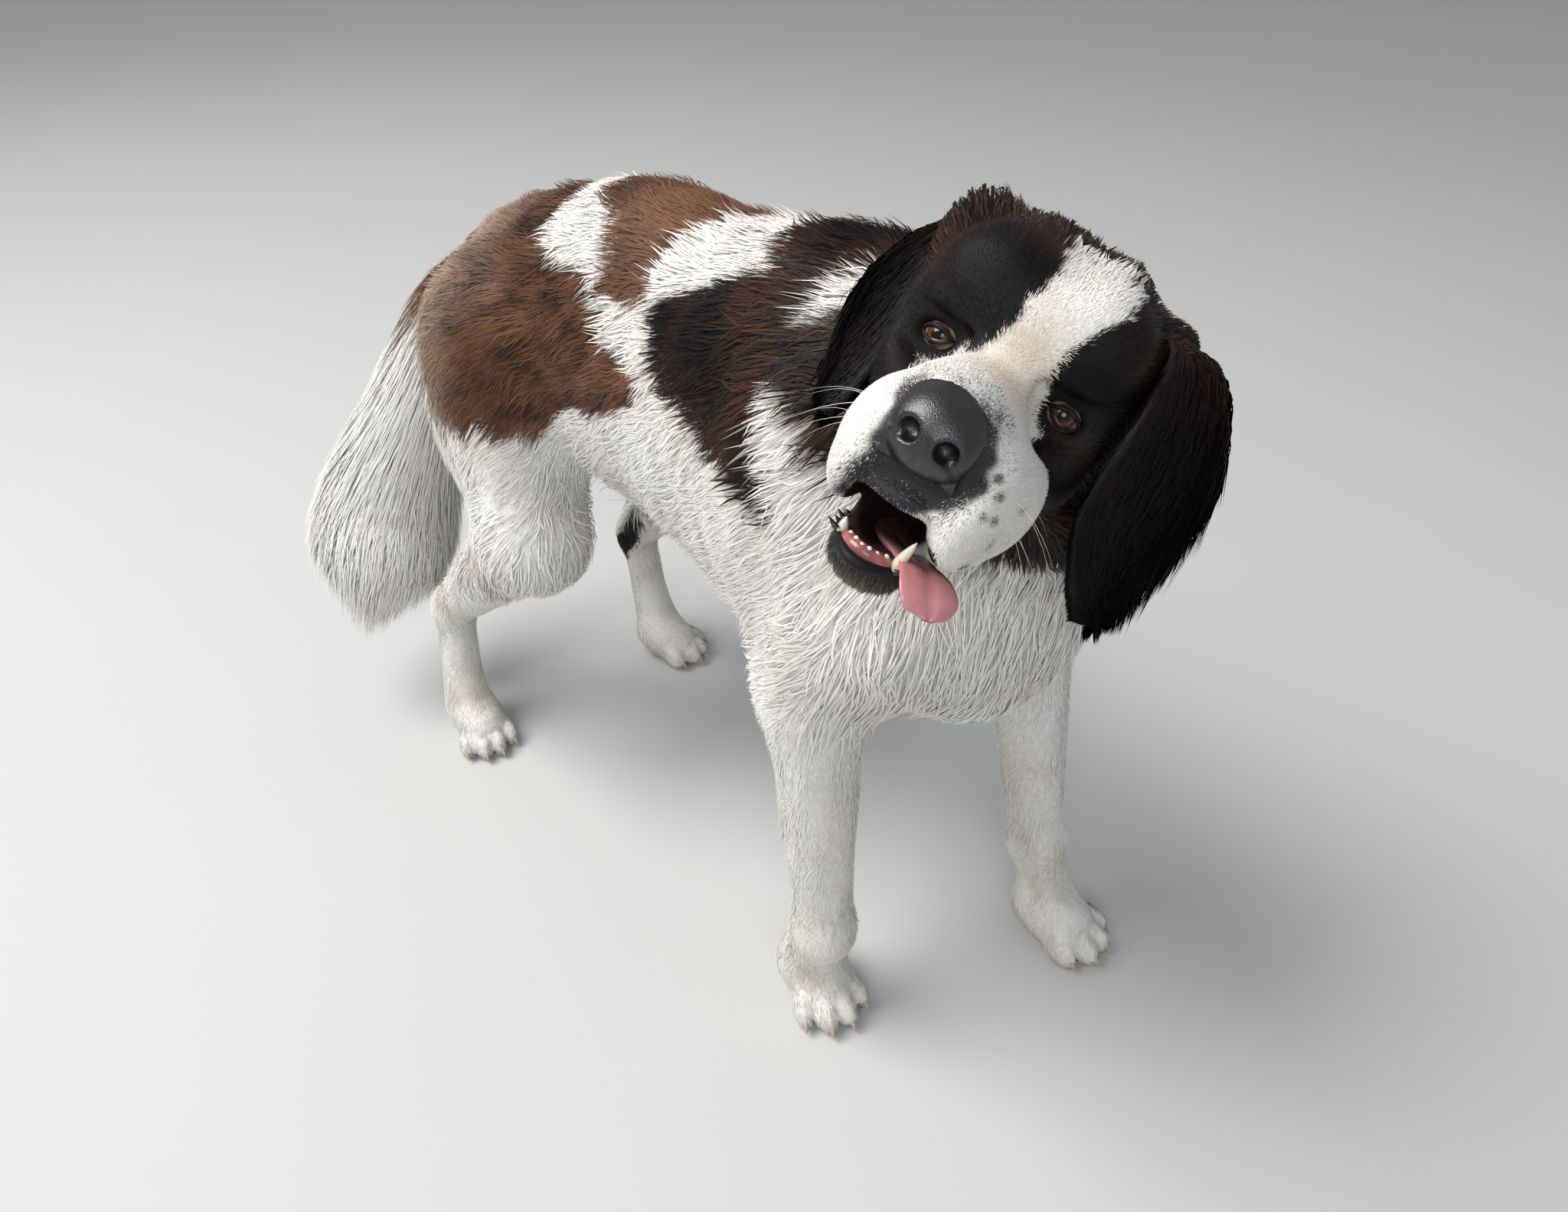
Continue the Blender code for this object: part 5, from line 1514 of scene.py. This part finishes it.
# The mouth
TONGUE = [
    (0.000, -0.005, -0.1100, 0.013, 0.0045, 0.002),
    (0.006, -0.035, -0.1110, 0.015, 0.0045, 0.002),
    (0.024, -0.058, -0.1085, 0.017, 0.0042, 0.002),
    (0.036, -0.070, -0.1080, 0.019, 0.0038, 0.001),
    (0.045, -0.080, -0.1140, 0.020, 0.0035, 0.001),
    (0.050, -0.084, -0.1200, 0.015, 0.0030, 0.0),
    (0.052, -0.086, -0.1235, 0.004, 0.0015, 0.0),
]
TONGUE_PINK, TONGUE_PALE = np.array((0.52, 0.20, 0.215)), np.array((0.64, 0.30, 0.30))


def flap_points(rows, across, count, sides):
    """Points and quads of a closed flap along a path, with a groove down its middle."""
    rows = smooth_path(rows, count)
    across = np.array(across, float)
    angle = 2 * math.pi * np.arange(sides) / sides
    points = []
    for i, (x, y, z, width, thick, cup) in enumerate(rows):
        ahead = unit(rows[min(i + 1, count - 1), :3] - rows[max(i - 1, 0), :3])
        side = unit(across - ahead * (across @ ahead))
        out = np.cross(side, ahead)
        bend = cup * np.cos(angle) ** 2
        groove = 0.0013 * np.exp(-((np.cos(angle) / 0.16) ** 2)) * (np.sin(angle) < 0)
        rise = thick * np.sin(angle) - bend + groove
        own = side * (width * np.cos(angle))[:, None] + out * rise[:, None]
        points.append(np.array((x, y, z)) + own)
    return np.concatenate(points), tube_faces(count, sides)[:, [1, 0, 3, 2]]


POINTED = (0.85, 1.0, 1.0, 0.96, 0.88, 0.76, 0.60, 0.40, 0.04)  # the radii along a canine
BLUNT = (0.85, 1.0, 1.0, 1.0, 0.98, 0.95, 0.88, 0.70, 0.15)  # and along a worn incisor


def tongue_piece():
    points, faces = flap_points(TONGUE, (0.85, 0.52, 0.0), 40, 36)
    points = from_head(points)
    tint = mixed(TONGUE_PINK, TONGUE_PALE, 0.5 * waves(points, 0.02, 51))
    # painted shade: the tongue darkened to a quarter towards the back of the mouth
    tint = tint * (0.25 + 0.75 * step_up(-to_head(points)[:, 1], 0.050, 0.072))[:, None]
    dressed(mesh_from("tongue_flap", points, faces, tint), WET, "tongue_skin", "tongue")


def jaw_tube(reach, count, wide, front, bend, height, rise, radius, blunt):
    """A tube round the front of the lower jaw, from its right corner to its left."""
    places = np.linspace(-reach, reach, count)
    arc = np.stack([wide * places, front + bend * places**2, height + rise * places**2], 1)
    share = np.clip(1 - (places / (reach + 0.15)) ** blunt, 0.01 if rise else 0.02, 1)
    return closed_tube(from_head(arc), radius * np.sqrt(share), 12)


def gum_and_lip():
    own, faces = jaw_tube(3.6, 25, 0.0048, -0.0835, 0.0011, -0.1125, 0.0, 0.0048, 4)
    gum = mixed(GUM, GUM * 0.5, 0.5 + 0.7 * waves(own, 0.012, 52))
    dressed(mesh_from("lower_gum", own, faces, gum), WET, "tongue_skin")
    own, faces = jaw_tube(4.6, 29, 0.0047, -0.0885, 0.0012, -0.1185, 0.00022, 0.0038, 6)
    dressed(mesh_from("lower_lip", own, faces, BLACK * 1.6), LID, "dark_coat")


def tooth(root, tip, radius, hook=0.0, taper=POINTED):
    """A tooth's path and its radii."""
    root, tip = np.array(root), np.array(tip)
    share = np.linspace(0, 1, len(taper))[:, None]
    path = root + (tip - root) * share + np.array((0, -1.0, 0)) * hook * np.sin(share * math.pi)
    return from_head(path), radius * np.array(taper)


def teeth():
    made = []
    for place in (-2.5, -1.5, -0.5, 0.5, 1.5, 2.5):
        x, y = 0.0048 * place, -0.0855 + 0.0011 * place**2
        tip = (x * 1.02, y, -0.1068 - 0.0006 * (place % 2 > 1))
        made.append(tooth((x, y + 0.002, -0.113), tip, 0.0019, taper=BLUNT))
    made.append(tooth((0.0185, -0.072, -0.114), (0.0225, -0.079, -0.0915), 0.0036, 0.0015))
    made.append(tooth((-0.0185, -0.070, -0.114), (-0.0200, -0.074, -0.1035), 0.0032, 0.0010))
    dressed(mesh_from("lower_teeth", *tube_bundle(made, 12)), IVORY, "white_coat")


def lip_points():
    """The soft black points along the corners of the lower lip."""
    made = []
    random = np.random.default_rng(53)
    for side, start, end, count in ((-1, -0.054, -0.076, 6), (1, -0.062, -0.080, 4)):
        for share in np.linspace(0, 1, count):
            root = (side * (0.0245 - 0.002 * share), start + (end - start) * share, -0.1065 - 0.006 * share)
            out = np.array((side * 0.0050, -0.001, 0.0026)) * random.uniform(0.4, 1.1)
            path = np.array(root) + out * np.linspace(-0.3, 1, 5)[:, None] + random.normal(size=3) * 0.0010
            made.append((from_head(path), (0.0019, 0.0018, 0.0013, 0.0007, 0.0001)))
    dressed(mesh_from("lip_papillae", *tube_bundle(made, 6), BLACK * 0.9), WET, "dark_coat")


tongue_piece()
gum_and_lip()
teeth()
lip_points()


# Claws and whiskers
def claws():
    made = []
    radii = 0.8 * np.array((0.0042, 0.0041, 0.0038, 0.0034, 0.0029, 0.0022, 0.0014, 0.0004))
    for name in PAWS:
        place, _, size = paw_place(name)
        for across, ahead, spread in TOES:
            way = math.radians(spread)
            path = []
            for share in np.linspace(0, 1, len(radii)):
                reach = 0.019 + 0.0085 * share
                high = 0.017 - 0.010 * share**1.6
                spot = (across + math.sin(way) * reach, ahead - math.cos(way) * reach, high)
                path.append(place @ Vector(spot))
            made.append((path, size * radii))
    dressed(mesh_from("claws", *tube_bundle(made, 10)), HORN, "dark_coat")


def whiskers():
    made = []
    random = np.random.default_rng(61)
    shares = np.linspace(-0.12, 1, 9)[:, None]
    sag = np.array((0, 0.25, -0.55)) * np.clip(shares, 0, 1) ** 2
    for side in (1, -1):
        for k in range(6):
            row, column = divmod(k, 3)
            root = (side * (0.040 + 0.008 * (side > 0)), -0.085 + 0.010 * column, -0.040 - 0.012 * row)
            away = unit(np.array((side * 1.0, random.uniform(-0.1, 0.5), random.uniform(-0.5, 0.1))))
            length = random.uniform(0.030, 0.060)
            path = np.array(root) + (away * shares + sag) * length
            made.append((from_head(path), 0.00022 * (1.05 - np.linspace(0, 1, 9))))
    dressed(mesh_from("whiskers", *tube_bundle(made, 4)), WHISKER, "white_coat")


claws()
whiskers()


# Floor, lights and camera
def floor():
    shape = bmesh.new()
    bmesh.ops.create_grid(shape, x_segments=1, y_segments=1, size=9.0)
    mesh = bpy.data.meshes.new("floor")
    shape.to_mesh(mesh)
    shape.free()
    mesh.materials.append(material("floor_look", 0.85, (0.54, 0.54, 0.53), bump_scale=8.0, vary=0.02))
    added("floor", mesh)


def area_light(name, place, target, size, power, colour=(1, 1, 1)):
    light = bpy.data.lights.new(name, "AREA")
    light.shape, light.size, light.energy, light.color = "DISK", size, power, colour
    made = added(name, light)
    made.location = place
    made.rotation_euler = (Vector(target) - Vector(place)).to_track_quat("-Z", "Y").to_euler()


CAMERA_AZIMUTH = -43.2  # degrees; 0 looks along +Y
CAMERA_PITCH = 35.0  # degrees down
CAMERA_AT = Vector((-0.659, -0.775, 1.03))
IMAGE_WIDTH, FOCAL_PIXELS, SENSOR = 2048, 1535, 36.0


def camera():
    a, p = math.radians(CAMERA_AZIMUTH), math.radians(CAMERA_PITCH)
    ahead = Vector((-math.sin(a) * math.cos(p), math.cos(a) * math.cos(p), -math.sin(p)))
    lens = bpy.data.cameras.new("camera")
    lens.sensor_fit, lens.sensor_width = "HORIZONTAL", SENSOR
    lens.lens = SENSOR * FOCAL_PIXELS / IMAGE_WIDTH
    lens.clip_start = 0.02
    made = added("camera", lens)
    made.location = CAMERA_AT + SHIFT
    made.rotation_euler = ahead.to_track_quat("-Z", "Y").to_euler()
    bpy.context.scene.camera = made


def lighting():
    world = bpy.data.worlds.new("studio")
    world.use_nodes = True
    set_inputs(world.node_tree.nodes["Background"], Color=(0.92, 0.95, 1.0, 1), Strength=0.41)
    bpy.context.scene.world = world
    middle = (0.0, 0.0, 0.45)
    area_light("sky_panel", (-2.2, 1.4, 4.4), middle, 3.4, 300, (1.0, 0.99, 0.97))
    area_light("front_panel", (-3.6, -3.4, 3.0), middle, 2.6, 80, (0.96, 0.98, 1.0))
    bpy.context.scene.view_settings.view_transform = "Standard"


floor()
lighting()
camera()
